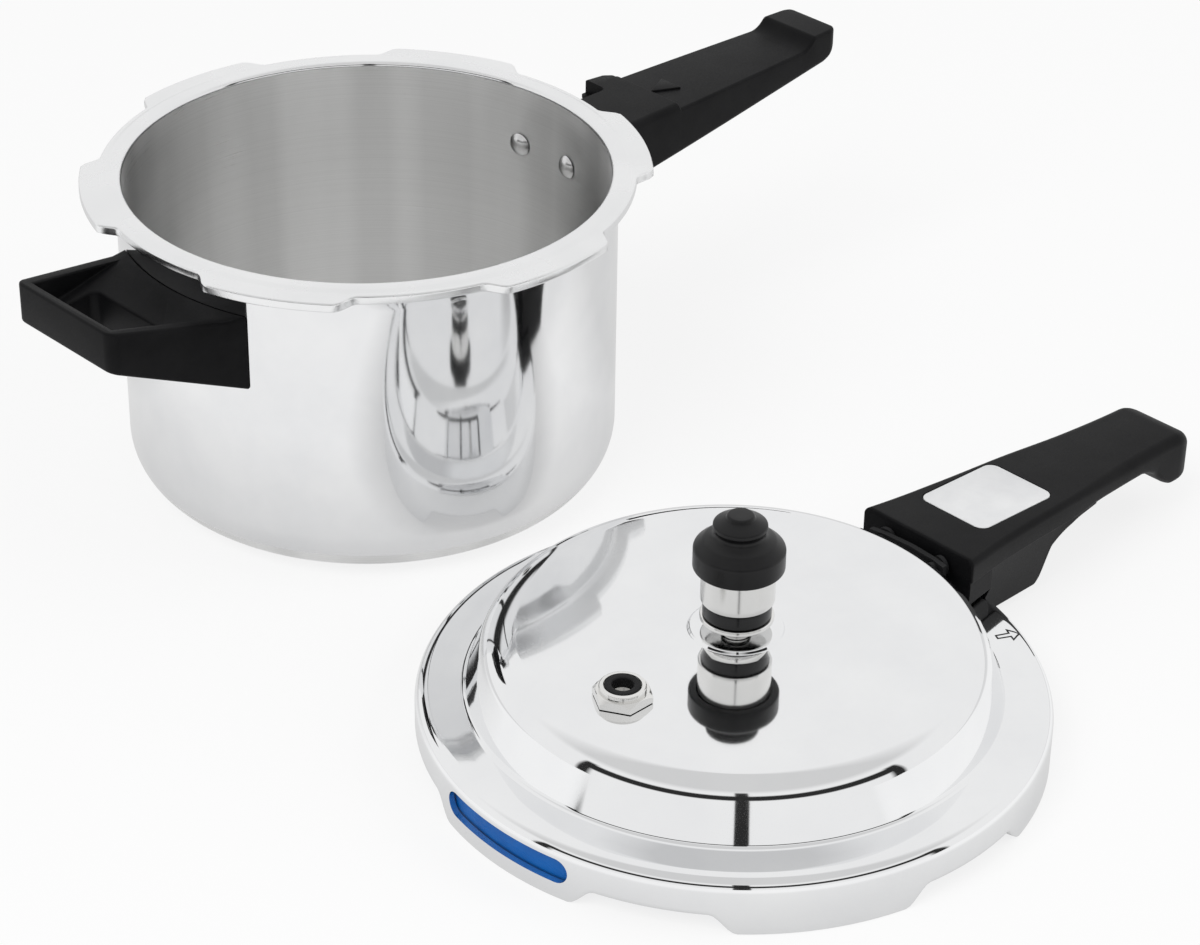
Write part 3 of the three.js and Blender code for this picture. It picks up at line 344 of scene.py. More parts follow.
def spun(thing, degrees):
    """Turns a mesh about the Z axis."""
    thing.data.transform(Matrix.Rotation(math.radians(degrees), 4, "Z"))
    return thing


def moved_to_lid(thing):
    """Shifts a mesh from the origin to the lid's axis."""
    thing.data.transform(Matrix.Translation(LID * MM))
    return thing


# Materials

METRE = (1000, 1000, 1000)  # millimetres
BEHIND = (0.67, 0.743, 0.0)  # level direction away from the camera
FRONT = (-0.67, -0.743, 0.0)
HAZE = 0.035  # scales of the noises, per millimetre
PATCHES = 0.03
CLOUD = 0.09
BRUSH_COLOUR = 1.6
BRUSH_DEPTH = 3.0
RINGS = 6.0


def new_material(name):
    """A material with its node tree and its main shader."""
    material = bpy.data.materials.new(name)
    material.use_nodes = True
    tree = material.node_tree
    return material, tree, tree.nodes["Principled BSDF"]


def add_node(tree, kind, inputs=None, **settings):
    """A node whose inputs are values or the outputs of other nodes."""
    made = tree.nodes.new(kind)
    for key, value in settings.items():
        setattr(made, key, value)
    for key, value in (inputs or {}).items():
        socket = made.inputs[key]
        if isinstance(value, bpy.types.NodeSocket):
            tree.links.new(value, socket)
        else:
            socket.default_value = value
    return made


def vector_node(tree, operation, *vectors):
    """A difference, product or direction."""
    inputs = dict(enumerate(vectors))
    return add_node(tree, "ShaderNodeVectorMath", inputs, operation=operation).outputs["Vector"]


def vector_measure(tree, operation, *vectors):
    """A length, distance or dot product."""
    inputs = dict(enumerate(vectors))
    return add_node(tree, "ShaderNodeVectorMath", inputs, operation=operation).outputs["Value"]


def height_of(tree, vector):
    return add_node(tree, "ShaderNodeSeparateXYZ", {0: vector}).outputs[2]


def level_part(tree, vector):
    """A vector without its height."""
    return vector_node(tree, "MULTIPLY", vector, (1, 1, 0))


def scaled_colour(tree, colour, level):
    inputs = {0: colour, "Scale": level}
    return add_node(tree, "ShaderNodeVectorMath", inputs, operation="SCALE").outputs["Vector"]


def object_point(tree, centre=(0, 0, 0)):
    """The point on the surface, in millimetres from a centre."""
    coordinate = add_node(tree, "ShaderNodeTexCoord").outputs["Object"]
    return vector_node(tree, "SUBTRACT", vector_node(tree, "MULTIPLY", coordinate, METRE), tuple(centre))


def math_node(tree, operation, a, b):
    return add_node(tree, "ShaderNodeMath", {0: a, 1: b}, operation=operation).outputs[0]


def product(tree, *factors):
    total = factors[0]
    for factor in factors[1:]:
        total = math_node(tree, "MULTIPLY", total, factor)
    return total


def noise(tree, vector, scale, detail=4.0, rough=0.55):
    inputs = {"Vector": vector, "Scale": scale, "Detail": detail, "Roughness": rough}
    return add_node(tree, "ShaderNodeTexNoise", inputs).outputs["Fac"]


def ranged(tree, value, low, high, bottom=0.3, top=0.7):
    """Maps bottom to top onto low to high and stops there; by default the middle of a noise."""
    inputs = {"Value": value, "From Min": bottom, "From Max": top, "To Min": low, "To Max": high}
    return add_node(tree, "ShaderNodeMapRange", inputs).outputs["Result"]


def blended(tree, factor, first, second):
    """A colour between two, by a factor."""
    made = add_node(tree, "ShaderNodeMix", data_type="RGBA")
    tree.links.new(factor, made.inputs["Factor"])
    made.inputs["A"].default_value = (*first, 1)
    made.inputs["B"].default_value = (*second, 1)
    return made.outputs["Result"]


def bump(tree, shader, height, strength, distance):
    """Fine relief, its depth in millimetres."""
    inputs = {"Height": height, "Strength": strength, "Distance": distance * MM}
    link(tree, add_node(tree, "ShaderNodeBump", inputs).outputs["Normal"], shader, "Normal")


def link(tree, output, shader, name):
    tree.links.new(output, shader.inputs[name])


def metal(name, dark, light, smooth, dull, centre=(0, 0, 0), rings=0.0):
    """Polished metal with faint hazing, and fine turned rings where rings is above zero."""
    material, tree, shader = new_material(name)
    point = object_point(tree, centre)
    haze = noise(tree, point, HAZE, 5.0)
    shader.inputs["Metallic"].default_value = 1.0
    link(tree, blended(tree, ranged(tree, haze, 0, 1), dark, light), shader, "Base Color")
    link(tree, ranged(tree, haze, smooth, dull), shader, "Roughness")
    if rings:
        bump(tree, shader, ring_noise(tree, point, RINGS), rings, 0.02)
    return material


def ring_noise(tree, point, scale):
    """Streaks that run round the Z axis: noise over radius and height alone."""
    radius = vector_measure(tree, "LENGTH", level_part(tree, point))
    lines = add_node(tree, "ShaderNodeCombineXYZ", {0: radius, 1: height_of(tree, point)})
    return noise(tree, lines.outputs[0], scale, 6.0, 0.7)


def brushed(name, dark, light, smooth, dull, centre=(0, 0, 0), bright=None):
    """Metal brushed round the Z axis, with painted light where bright is given: brighter on the side that
    bright points to, and in painted reflection bands round the axis.
    """
    material, tree, shader = new_material(name)
    point = object_point(tree, centre)
    streaks = ring_noise(tree, point, BRUSH_COLOUR)
    patches = noise(tree, point, PATCHES, 3.0)
    shader.inputs["Metallic"].default_value = 1.0
    shader.inputs["Anisotropic"].default_value = 0.85
    shader.inputs["Anisotropic Rotation"].default_value = 0.25
    along = add_node(tree, "ShaderNodeTangent", direction_type="RADIAL", axis="Z").outputs[0]
    link(tree, along, shader, "Tangent")
    colour = blended(tree, ranged(tree, streaks, 0, 1), dark, light)
    # Painted light: brighter towards the bright side, and in bands of painted reflection by bearing.
    if bright:
        bearing = vector_node(tree, "NORMALIZE", level_part(tree, point))
        side = vector_measure(tree, "DOT_PRODUCT", bearing, bright)
        painted_reflection_bands = ranged(tree, noise(tree, bearing, 3.2, 1.0), 0.9, 1.0, 0.42, 0.56)
        level = product(tree, painted_reflection_bands, ranged(tree, side, 0.95, 1.0, 0.2, 0.8))
        colour = scaled_colour(tree, colour, level)
    link(tree, colour, shader, "Base Color")
    total = math_node(tree, "ADD", streaks, patches)
    link(tree, ranged(tree, total, smooth, dull, 0.7, 1.3), shader, "Roughness")
    bump(tree, shader, ring_noise(tree, point, BRUSH_DEPTH), 0.45, 0.05)
    return material


def moulded(name, dark, light, smooth, dull, grain=0.12, scale=2.2, gloss=0.5, painted_shade_span=None):
    """Moulded plastic or rubber with a fine grain, with painted shade that makes it darker below a span of
    heights.
    """
    material, tree, shader = new_material(name)
    point = object_point(tree)
    cloud = noise(tree, point, CLOUD, 4.0)
    speck = noise(tree, point, scale, 4.0, 0.65)
    colour = blended(tree, ranged(tree, cloud, 0, 1), dark, light)
    # Painted shade: the colour darkens below the given span of heights.
    if painted_shade_span:
        colour = scaled_colour(tree, colour, ranged(tree, height_of(tree, point), 0.22, 1.0, *painted_shade_span))
    link(tree, colour, shader, "Base Color")
    link(tree, ranged(tree, speck, smooth, dull), shader, "Roughness")
    shader.inputs["Specular IOR Level"].default_value = gloss
    bump(tree, shader, speck, grain, 0.08)
    return material


# Each material: name, darkest and lightest colour, least and greatest roughness, then its own values
pot_metal = metal("pot_polish", (0.80, 0.805, 0.815), (0.86, 0.862, 0.866), 0.05, 0.09)
# The pot's inside gets painted light: brighter towards the back, with painted reflection bands.
pot_inside = brushed("pot_brushed", (0.90, 0.90, 0.895), (0.995, 0.995, 0.99), 0.27, 0.40, bright=BEHIND)
rim_metal = metal("rim_satin", (0.85, 0.855, 0.86), (0.90, 0.902, 0.905), 0.24, 0.30)
lid_metal = metal("lid_mirror", (0.86, 0.865, 0.875), (0.90, 0.905, 0.91), 0.03, 0.06, LID)
lid_inside = brushed("lid_brushed", (0.60, 0.60, 0.60), (0.76, 0.76, 0.76), 0.25, 0.4, LID)
steel_metal = metal("turned_steel", (0.76, 0.755, 0.74), (0.86, 0.855, 0.84), 0.10, 0.2, LID, 0.04)
plain_steel = metal("plain_steel", (0.55, 0.55, 0.55), (0.68, 0.68, 0.67), 0.2, 0.35)
rivet_metal = metal("rivet_metal", (0.62, 0.62, 0.62), (0.78, 0.78, 0.78), 0.16, 0.28)
bakelite = moulded("bakelite", (0.0035, 0.0035, 0.004), (0.0065, 0.0065, 0.007), 0.42, 0.56, gloss=0.11)
cap_black = moulded("cap_black", (0.003, 0.003, 0.0034), (0.005, 0.005, 0.0055), 0.28, 0.38, 0.05, 3.0, 0.3)
band_black = moulded("band_black", (0.003, 0.003, 0.0034), (0.005, 0.005, 0.0055), 0.12, 0.2, 0.02, 3.0, 0.4)
rubber = moulded("black_rubber", (0.006, 0.006, 0.0065), (0.01, 0.01, 0.011), 0.5, 0.7, 0.15, 2.5, 0.25)
# The seal gets painted shade: navy below heights of 4.9 to 6.9 mm, which only the stretch in the window
# reaches.
seal_blue = moulded("seal_blue", (0.0, 0.10, 0.40), (0.0, 0.13, 0.48), 0.38, 0.55, 0.08, 1.4, 0.3,
                    painted_shade_span=(4.9, 6.9))
badge_silver = moulded("badge_silver", (0.74, 0.745, 0.755), (0.82, 0.825, 0.83), 0.42, 0.55, 0.05, 2.0)


def dress(thing, *materials):
    """Gives an object its materials."""
    thing.data.materials.clear()
    for material in materials:
        thing.data.materials.append(material)
    return thing


def stand_for(thing, node, body):
    """Puts a piece on its body in place of a solid."""
    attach(thing, body)
    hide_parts(node)


def add_to(thing, body):
    """Puts a piece on a body beside its solids."""
    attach(thing, body)


def pick(thing, index, wanted):
    """Gives the faces that wanted(centre in millimetres, normal) picks a material of their own."""
    for face in thing.data.polygons:
        if wanted(face.center / MM, face.normal):
            face.material_index = index


# The pot

WALL_RINGS = (40.0, 60.0, 80.0, 100.0)  # heights that split the straight wall
WALL_START = 4.0  # first ring above the corner
MOUTH = POT_INNER + 0.4  # faces nearer the axis than this are inside
INSIDE_TOP = POT_HEIGHT - 2.0


def lug_offset(angle):
    """Degrees from the middle of the nearest lug or fold."""
    return abs(angle % LUG_PITCH - LUG_PITCH / 2)


def rim_reach(angle):
    """How far the rim stands out at an angle: 0 between lugs, 1 on a lug."""
    return 1 - smooth_step(LUG_HALF - LUG_EASE, LUG_HALF + LUG_EASE, lug_offset(angle))


def pot_profile(angle):
    """The pot's section at an angle, from its base's middle round to its floor's middle."""
    edge = RIM_RADIUS + (LUG_RADIUS - RIM_RADIUS) * rim_reach(angle)
    inner = POT_CORNER - (POT_RADIUS - POT_INNER)
    outside = [(0.0, 0.0), (POT_RADIUS - POT_CORNER - 0.5, 0.0)]
    outside += arc(POT_RADIUS - POT_CORNER, POT_CORNER, POT_CORNER, -90, 0, 24)
    outside += [(POT_RADIUS, z) for z in (POT_CORNER + WALL_START, *WALL_RINGS, RIM_ROOT)]
    rim = filleted(
        [
            (POT_RADIUS, RIM_ROOT, 0),
            (POT_RADIUS, RIM_BOTTOM, 2.4),
            (edge, RIM_BOTTOM, 0.8),
            (edge, RIM_TOP, 0.9),
            (BEAD_FOOT, RIM_TOP, 0.7),
            (BEAD_CREST, POT_HEIGHT, 0.8),
            (POT_INNER, POT_HEIGHT, 2.1),
            (POT_INNER, RIM_ROOT, 0),
        ],
        6,
    )
    inside = [(POT_INNER, z) for z in (*WALL_RINGS[::-1], POT_FLOOR + inner + WALL_START)]
    inside += arc(POT_INNER - inner, POT_FLOOR + inner, inner, 0, -90, 20)
    inside += [(POT_INNER - inner - 0.5, POT_FLOOR), (40.0, POT_FLOOR), (0.0, POT_FLOOR)]
    return outside + rim[1:] + inside


pot = turned("pot_body_smooth", pot_profile, steps=360, sharp=60)
dress(pot, pot_metal, pot_inside, rim_metal)
pick(pot, 1, lambda c, n: c.xy.length < MOUTH and POT_FLOOR - 0.2 < c.z < INSIDE_TOP)
pick(pot, 2, lambda c, n: c.z > RIM_BOTTOM - 0.1 and c.xy.length > MOUTH)
stand_for(pot, "pot_body", "pot")


RIVET_RADIUS = 4.6
RIVET_DOME = 2.3  # height of the head
RIVET_SHANK = 2.5
RIVET_TAIL = 3.6  # radius of the closed end
RIVET_TAIL_HEIGHT = 1.5
RIVET_LIFT = 0.45  # clears the wall's curve


def rivet_head(name, node, bearing, height, wall=POT_INNER, radius=RIVET_RADIUS, dome=RIVET_DOME,
               tail=POT_RADIUS + BRACKET, body="pot", centre=(0, 0)):
    """A domed rivet head inside a wall, with its shank and its tail on the bracket."""
    seat = wall - RIVET_LIFT
    rise = (dome * dome + radius * radius) / (2 * dome)
    swing = math.degrees(math.asin(radius / rise))
    crown = arc(0, seat - dome + rise, rise, 270, 270 + swing, 12)
    crown[0] = (0.0, crown[0][1])
    start = tail + SEAT_GAP
    end = start + RIVET_TAIL_HEIGHT
    path = crown + [(radius, seat), (RIVET_SHANK, seat), (RIVET_SHANK, start)]
    path += [(RIVET_TAIL, start), (RIVET_TAIL, end), (0.0, end)]
    head = turned(name, lambda angle: path, steps=48, sharp=35)
    turn = Matrix.Rotation(math.radians(bearing), 4, "Z") @ Matrix.Rotation(math.radians(90), 4, "Y")
    place = Matrix.Translation(Vector((centre[0], centre[1], height)) * MM)
    head.data.transform(place @ turn)
    # The tails get black rubber: painted shade that keeps them dark in the shaded gaps beside the brackets.
    dress(head, rivet_metal, rubber)
    axis = Vector((centre[0], centre[1]))
    pick(head, 1, lambda c, n: (c.xy - axis).length > wall + 1)
    stand_for(head, node, body)


LONG_RIVETS = 97.0  # heights
SHORT_RIVETS = 91.5
LID_RIVETS = LID_PLATE + 3.0
LID_RIVET_RADIUS = 3.0
LID_RIVET_DOME = 1.5
lid_rivet_rise = LID_RIVETS + LID_RIVET_RADIUS - SHOULDER_CENTRE
lid_rivet_wall = SHOULDER_RING + math.sqrt((SHOULDER - SHEET) ** 2 - lid_rivet_rise**2)
for side, sign in (("left", 1), ("right", -1)):
    rivet_head("long_rivet_" + side, "pot_handle_rivet_" + side, sign * 8.5, LONG_RIVETS)
    rivet_head("short_rivet_" + side, "helper_handle_rivet_" + side, 180 + sign * 10, SHORT_RIVETS)
    rivet_head("lid_rivet_" + side, "lid_handle_rivet_" + side, sign * 8, LID_RIVETS, lid_rivet_wall,
               LID_RIVET_RADIUS, LID_RIVET_DOME, dome_wall(LID_PLATE) + BRACKET, "lid", (LID.x, LID.y))


# The long handle

def spread(start, end, step):
    """Even places from start to end, about a step apart."""
    count = max(1, round((end - start) / step))
    return [start + (end - start) * i / count for i in range(count + 1)]


def soft_lower(a, b, blend):
    """The lower of two heights, with the corner between them rounded."""
    share = min(1.0, max(0.0, 0.5 + 0.5 * (b - a) / blend))
    return b + (a - b) * share - blend * share * (1 - share)


def wall_bend(radius, start, reach):
    """Curves the near end of a form to follow a round wall."""
    def bend(x, y):
        sag = math.sqrt(radius * radius - y * y) - radius
        return sag * (1 - smooth_step(start, start + reach, x))
    return bend


SCREW_HOLE = 4.1


def block(radius, low, high):
    """The profile of a plain cylinder."""
    return [(0.0, low), (radius, low), (radius, high), (0.0, high)]


def screw_hole(name, x, low, high):
    """A counterbore for a screw that goes in from below."""
    return turned(name, lambda angle: block(SCREW_HOLE, low, high), (x, 0, 0), 32)


TIP = POT_RADIUS + 148.0
TIP_DEPTH = 9.5
ROOT_BOTTOM = 79.2
RIDGE = POT_RADIUS + 52.6  # where the collar ends
RIDGE_RUN = 1.1
COLLAR_RISE = 2.2
COLLAR_TOP = HANDLE_TOP + COLLAR_RISE
CREST_RISE = 4.4
UNDERCUT = 11.0  # radius of the curve under the tip
UNDERCUT_SHARE = 0.83
BROW = 2.9  # radius of the tip's upper edge
RAMP = TIP - 23.25  # foot of the curve up to the crest
RAMP_RADIUS = 9.0
TIP_ROUNDING = 6.0


def long_top(x):
    """Height of the handle's top: collar, grip and crest."""
    if x < RIDGE:
        return COLLAR_TOP - COLLAR_RISE * smooth_step(RIDGE - RIDGE_RUN, RIDGE, x)
    rise = soft_lower(circle_drop(x, RAMP, RAMP_RADIUS), CREST_RISE, 1.6)
    return HANDLE_TOP + max(0.0, rise) - circle_drop(x, TIP - BROW, BROW)


def long_bottom(x):
    """Height of the handle's lower edge, which curves up under the tip."""
    centre = HANDLE_TOP - TIP_DEPTH + UNDERCUT
    start = TIP - UNDERCUT * UNDERCUT_SHARE
    low = centre - math.sqrt(UNDERCUT**2 - (start - TIP + UNDERCUT) ** 2)
    if x < start:
        return ROOT_BOTTOM + (low - ROOT_BOTTOM) * (x - POT_INNER) / (start - POT_INNER)
    return centre - math.sqrt(UNDERCUT**2 - (x - TIP + UNDERCUT) ** 2)


# Half-widths along the handle
long_width = through([(POT_INNER, 20.5), (RIDGE, 18.6), (TIP, 13.6)])


def long_ring(x):
    half = long_width(x) - circle_drop(x, TIP - TIP_ROUNDING, TIP_ROUNDING)
    edge = 3.0 - 1.6 * smooth_step(RIDGE - RIDGE_RUN, RIDGE, x)
    return section(long_top(x), long_bottom(x), half, edge, 2.6)


long_xs = spread(POT_RADIUS + 0.32, RIDGE - 1.4, 4) + spread(RIDGE - 1.2, RIDGE + 0.1, 0.13)
long_xs += spread(RIDGE + 0.6, RAMP, 4) + spread(RAMP + 0.4, RAMP + 10, 0.5)
long_xs += spread(RAMP + 11, TIP - 6.2, 1.2) + spread(TIP - 6, TIP - 0.4, 0.35) + [TIP - 0.15, TIP - 0.03]
long_handle = loft(
    "pot_handle_moulding",
    [(x, long_ring(x)) for x in long_xs],
    wall_bend(POT_RADIUS + SEAT_GAP, POT_RADIUS + SEAT_GAP, 22),
)
# Outlines of (distance from the pot's axis, distance to the left)
ear_outline = [(129.0, 0.0), (142.9, 0.0), (142.9, 18.6), (139.6, 21.3), (131.5, 22.4), (129.0, 22.4)]
ear = prism("handle_ear", ear_outline, COLLAR_TOP - 7.5, COLLAR_TOP)
bevelled(ear, 0.9, 3)
boolean(long_handle, [ear], "UNION")
notch_outline = [(POT_INNER, 23.4), (POT_INNER, 10.8)] + arc(129.0, 13.3, 2.5, 270, 360, 6) + [(131.5, 23.4)]
notch = prism("notch", notch_outline, COLLAR_TOP - 5.5, COLLAR_TOP + 1)
boolean(long_handle, [notch, screw_hole("long_screw_hole", POT_RADIUS + 27.0, 70.0, 89.2)])
stand_for(dress(long_handle, bakelite), "pot_handle", "pot")

triangle_outline = [(145.4, 0.0), (156.6, -5.4), (156.6, 5.4)]
triangle = prism("pot_handle_triangle", triangle_outline, HANDLE_TOP - 0.3, HANDLE_TOP + 0.8)
bevelled(triangle, 0.25, 2)
add_to(dress(triangle, bakelite), "pot")


# The helper handle

HELPER_ROOT = POT_RADIUS - 10.0
HELPER_TIP = POT_RADIUS + 46.0
HELPER_ROOT_HALF = 35.0
HELPER_TIP_HALF = 27.0
HELPER_CORNER = 4.0
HELPER_BRIM = HELPER_TIP - 4.6  # inside of the raised edge
BRIM_ROOT_HALF = 30.4
BRIM_TIP_HALF = 22.4
ROOT_TOP = POT_HEIGHT - 17.5
BAR_TOP = POT_HEIGHT - 8.0
DISH_DEPTH = 13.5  # at the bar
CUT_HALF = 40.0  # the cutting forms reach past the handle
CUT_LOW = 60.0
CUT_HIGH = 130.0
DISH_HIGH = 140.0
helper_side = [(HELPER_ROOT, 74.5), (HELPER_TIP, 99.0), (HELPER_TIP, BAR_TOP), (POT_RADIUS, ROOT_TOP),
               (HELPER_ROOT, ROOT_TOP)]
corner_x, corner_y = HELPER_TIP - HELPER_CORNER, HELPER_TIP_HALF - HELPER_CORNER
helper_plan = [(HELPER_ROOT, -HELPER_ROOT_HALF)] + arc(corner_x, -corner_y, HELPER_CORNER, -90, 0, 6)
helper_plan += arc(corner_x, corner_y, HELPER_CORNER, 0, 90, 6) + [(HELPER_ROOT, HELPER_ROOT_HALF)]
dish_side = [(HELPER_ROOT, ROOT_TOP), (POT_RADIUS, ROOT_TOP), (HELPER_BRIM, BAR_TOP - DISH_DEPTH),
             (HELPER_BRIM, DISH_HIGH), (HELPER_ROOT, DISH_HIGH)]
dish_plan = [(HELPER_ROOT, -BRIM_ROOT_HALF), (HELPER_BRIM, -BRIM_TIP_HALF), (HELPER_BRIM, BRIM_TIP_HALF),
             (HELPER_ROOT, BRIM_ROOT_HALF)]
helper = prism("helper_handle_moulding", helper_side, -CUT_HALF, CUT_HALF, "xzy")
boolean(helper, [prism("helper_plan", helper_plan, CUT_LOW, CUT_HIGH)], "INTERSECT")
dish = prism("helper_dish", dish_side, -CUT_HALF, CUT_HALF, "xzy")
boolean(dish, [prism("dish_plan", dish_plan, CUT_LOW, DISH_HIGH + 10)], "INTERSECT")
gap = prism("finger_gap", rounded_rectangle(18, 39, 3, (HELPER_TIP - 19, 0)), CUT_LOW, CUT_HIGH)
pot_room_path = block(POT_RADIUS + SEAT_GAP, CUT_LOW - 10, CUT_HIGH)
pot_room = turned("helper_room", lambda angle: pot_room_path, steps=180)
boolean(helper, [dish, gap])
bevelled(helper, 1.1, 3)
boolean(helper, [pot_room, screw_hole("short_screw_hole", POT_RADIUS + 10.5, 60.0, 83.5)])
spun(helper, 180)
stand_for(dress(helper, bakelite), "helper_handle", "pot")


# The lid

def fold_share(angle):
    """How far the skirt is folded in at an angle: 0 on a long lobe, 1 on a folded stretch."""
    return 1 - smooth_step(FOLD_FLAT, FOLD_END, lug_offset(angle))


def lid_profile(angle):
    """The lid's section at an angle, from the vent's hole out below and back on top."""
    share = fold_share(angle)
    ceiling = LID_TOP - SHEET
    under = [(radius, ceiling) for radius in (VENT_HOLE, 16.0, 40.0, 60.0, SHOULDER_RING - 0.4)]
    under += arc(SHOULDER_RING, SHOULDER_CENTRE, SHOULDER - SHEET, 90, LEAN, 14)
    under += arc(FOOT_RING, FOOT_CENTRE, FOOT + SHEET, 180 + LEAN, 270, 8)
    under += arc(EDGE_RING, EDGE_CENTRE, EDGE - SHEET, 90, 0, 10)
    lobe = [(SKIRT_INNER, height) for height in (HEM_TOP, 9.6, 8.0, 5.0, 2.0, 0.7)]
    lobe += [(SKIRT_INNER + 0.2, 0.2), (SKIRT_INNER + 0.7, 0.0), (SKIRT_OUTER - 0.8, 0.0)]
    lobe += [(SKIRT_OUTER - 0.25, 0.25), (SKIRT_OUTER, 0.8), (SKIRT_OUTER, 3.0), (SKIRT_OUTER, 7.0)]
    top = FOLD_HEIGHT + SHEET
    lug = [(SKIRT_INNER, HEM_TOP), (SKIRT_INNER, top + 0.7), (SKIRT_INNER - 0.7, top)]
    lug += [(FOLD_INNER + 0.7, top), (FOLD_INNER + 0.1, top - 0.5), (FOLD_INNER, top - 1.1)]
    lug += [(FOLD_INNER + 0.1, FOLD_HEIGHT + 0.5), (FOLD_INNER + 0.7, FOLD_HEIGHT)]
    lug += [(SKIRT_OUTER - 1.6, FOLD_HEIGHT), (SKIRT_OUTER - 0.5, FOLD_HEIGHT + 0.45)]
    lug += [(SKIRT_OUTER, FOLD_HEIGHT + rise) for rise in (1.5, 2.2, 3.0)]
    hem = [(a[0] + (b[0] - a[0]) * share, a[1] + (b[1] - a[1]) * share) for a, b in zip(lobe, lug)]
    over = arc(EDGE_RING, EDGE_CENTRE, EDGE, 0, 90, 26)
    over += [((EDGE_RING + FOOT_RING) / 2, FLANGE)]
    over += arc(FOOT_RING, FOOT_CENTRE, FOOT, 270, 180 + LEAN, 12)
    over += arc(SHOULDER_RING, SHOULDER_CENTRE, SHOULDER, LEAN, 90, 28)
    over += [(radius, LID_TOP) for radius in (SHOULDER_RING - 0.5, 60.0, 40.0, 20.0)]
    boss = [(20.0, LID_TOP, 0), (BOSS_RADIUS + 0.6, LID_TOP, 0.5), (BOSS_RADIUS, BOSS_TOP, 0.5)]
    boss = filleted(boss + [(VENT_HOLE, BOSS_TOP, 0), (VENT_HOLE, LID_TOP, 0)], 4)
    return under + hem + over + boss[1:-1] + [(VENT_HOLE, ceiling)]


lid = turned("lid_shell_smooth", lid_profile, LID, steps=432, sharp=60)
window_outline = rounded_rectangle(WINDOW_LENGTH, WINDOW_HEIGHT, WINDOW_HEIGHT / 2, (0, WINDOW_MIDDLE))
window = prism("seal_window", window_outline, 95, 112, "yzx")
moved_to_lid(spun(window, 180))
plug_axis = LID + Vector((PLUG_REACH * math.cos(PLUG_BEARING), PLUG_REACH * math.sin(PLUG_BEARING), 0))
plug_hole = turned("plug_hole", lambda angle: block(PLUG_HOLE, 30.0, 50.0), plug_axis, 64)
boolean(lid, [window, plug_hole], sharp=50)
dress(lid, lid_metal, lid_inside)


def lid_under(centre, normal):
    """True on the faces inside the lid."""
    out = (centre - LID).xy
    inwards = normal.xy.dot(out.normalized()) < -0.3 or normal.z < -0.3
    return out.length < SKIRT_INNER + 0.1 and inwards


pick(lid, 1, lid_under)
stand_for(lid, "lid_shell", "lid")


def flange_height(radius):
    """Height of the flange's top at a radius, over its rounded edge too."""
    return FLANGE - circle_drop(radius, EDGE_RING, EDGE)


def arrow_line(name, corners, width):
    """A printed outline that lies on the flange, from (radius, distance sideways) corners."""
    count = len(corners)
    outline = [Vector(corner) for corner in corners]
    inner = []
    for i, corner in enumerate(outline):
        back = (corner - outline[i - 1]).normalized()
        ahead = (outline[(i + 1) % count] - corner).normalized()
        side = Vector((-back.y - ahead.y, back.x + ahead.x)).normalized()
        inner.append(corner + side * width / max(0.35, side.dot(Vector((-back.y, back.x)))))
    steps = 10  # pieces of each side, so that the line follows the curve
    outline, inner = (
        [a.lerp(b, k / steps) for a, b in zip(line, line[1:] + line[:1]) for k in range(steps)]
        for line in (outline, inner)
    )
    count *= steps
    vertices = []
    for rise in (-ARROW_SINK, ARROW_RISE):
        vertices += [(p.x, p.y, flange_height(p.length) + rise) for p in outline + inner]
    faces = []
    for i in range(count):
        j = (i + 1) % count
        low = (i, j, count + j, count + i)
        high = tuple(2 * count + corner for corner in low)
        faces += [low[::-1], high, (low[0], low[1], high[1], high[0]), (low[2], low[3], high[3], high[2])]
    return mesh_object(name, vertices, faces, sharp=30)


ARROW_SINK = 0.15
ARROW_RISE = 0.06
ARROW_BEARING = -26.5
ARROW = [(103.9, 0.0), (99.8, 3.7), (99.7, 1.3), (94.8, 1.2), (94.8, -1.2), (99.7, -1.3), (99.8, -3.7)]
arrow = arrow_line("flange_arrow", ARROW, 0.6)
moved_to_lid(spun(arrow, ARROW_BEARING))
add_to(dress(arrow, cap_black), "lid")

seal_outer = SKIRT_INNER - 2 * SEAT_GAP
seal_bottom = FOLD_HEIGHT + SHEET + SEAT_GAP
seal_top = EDGE_CENTRE + seal_outer - EDGE_RING
seal_inner = seal_outer - 12
seal_path = [(seal_inner, seal_top - 2), (seal_outer - 6, seal_top - 2), (seal_outer - 4, seal_bottom)]
seal_path += [(seal_outer, seal_bottom)] + arc(EDGE_RING, EDGE_CENTRE, seal_outer - EDGE_RING, 0, 90, 12)
seal_path += [(seal_inner, seal_top), seal_path[0]]
seal = turned("sealing_ring_smooth", lambda angle: seal_path, LID, 192)
stand_for(dress(seal, seal_blue), "sealing_ring", "sealing_ring")


def sector(name, path, start, end, steps=24):
    """A closed (radius, height) path swept between two bearings in degrees."""
    vertices = []
    for i in range(steps + 1):
        angle = math.radians(start + (end - start) * i / steps)
        vertices += [(r * math.cos(angle), r * math.sin(angle), z) for r, z in path]
    return mesh_object(name, vertices, tube_faces(steps + 1, len(path)), LID)


# The stretch of seal that is pressed into the window turns with the lid. It reaches down through the whole
# window, and its lower part, navy from painted shade, stands in for the shaded inside of the lid.
SWELL_INNER = 100.0
SWELL_BOTTOM = 3.4
SWELL_HALF = 16.2  # degrees
swell_top = seal_bottom - 0.02
swell = filleted([(SWELL_INNER, swell_top, 0), (SWELL_INNER, SWELL_BOTTOM, 1.0),
                  (seal_outer, SWELL_BOTTOM, 1.6), (seal_outer, swell_top, 0)])
window_seal_and_shade = sector("seal_and_shade_in_window", swell, 180 - SWELL_HALF, 180 + SWELL_HALF)
add_to(dress(window_seal_and_shade, seal_blue), "lid")


# The vent tube and the weight

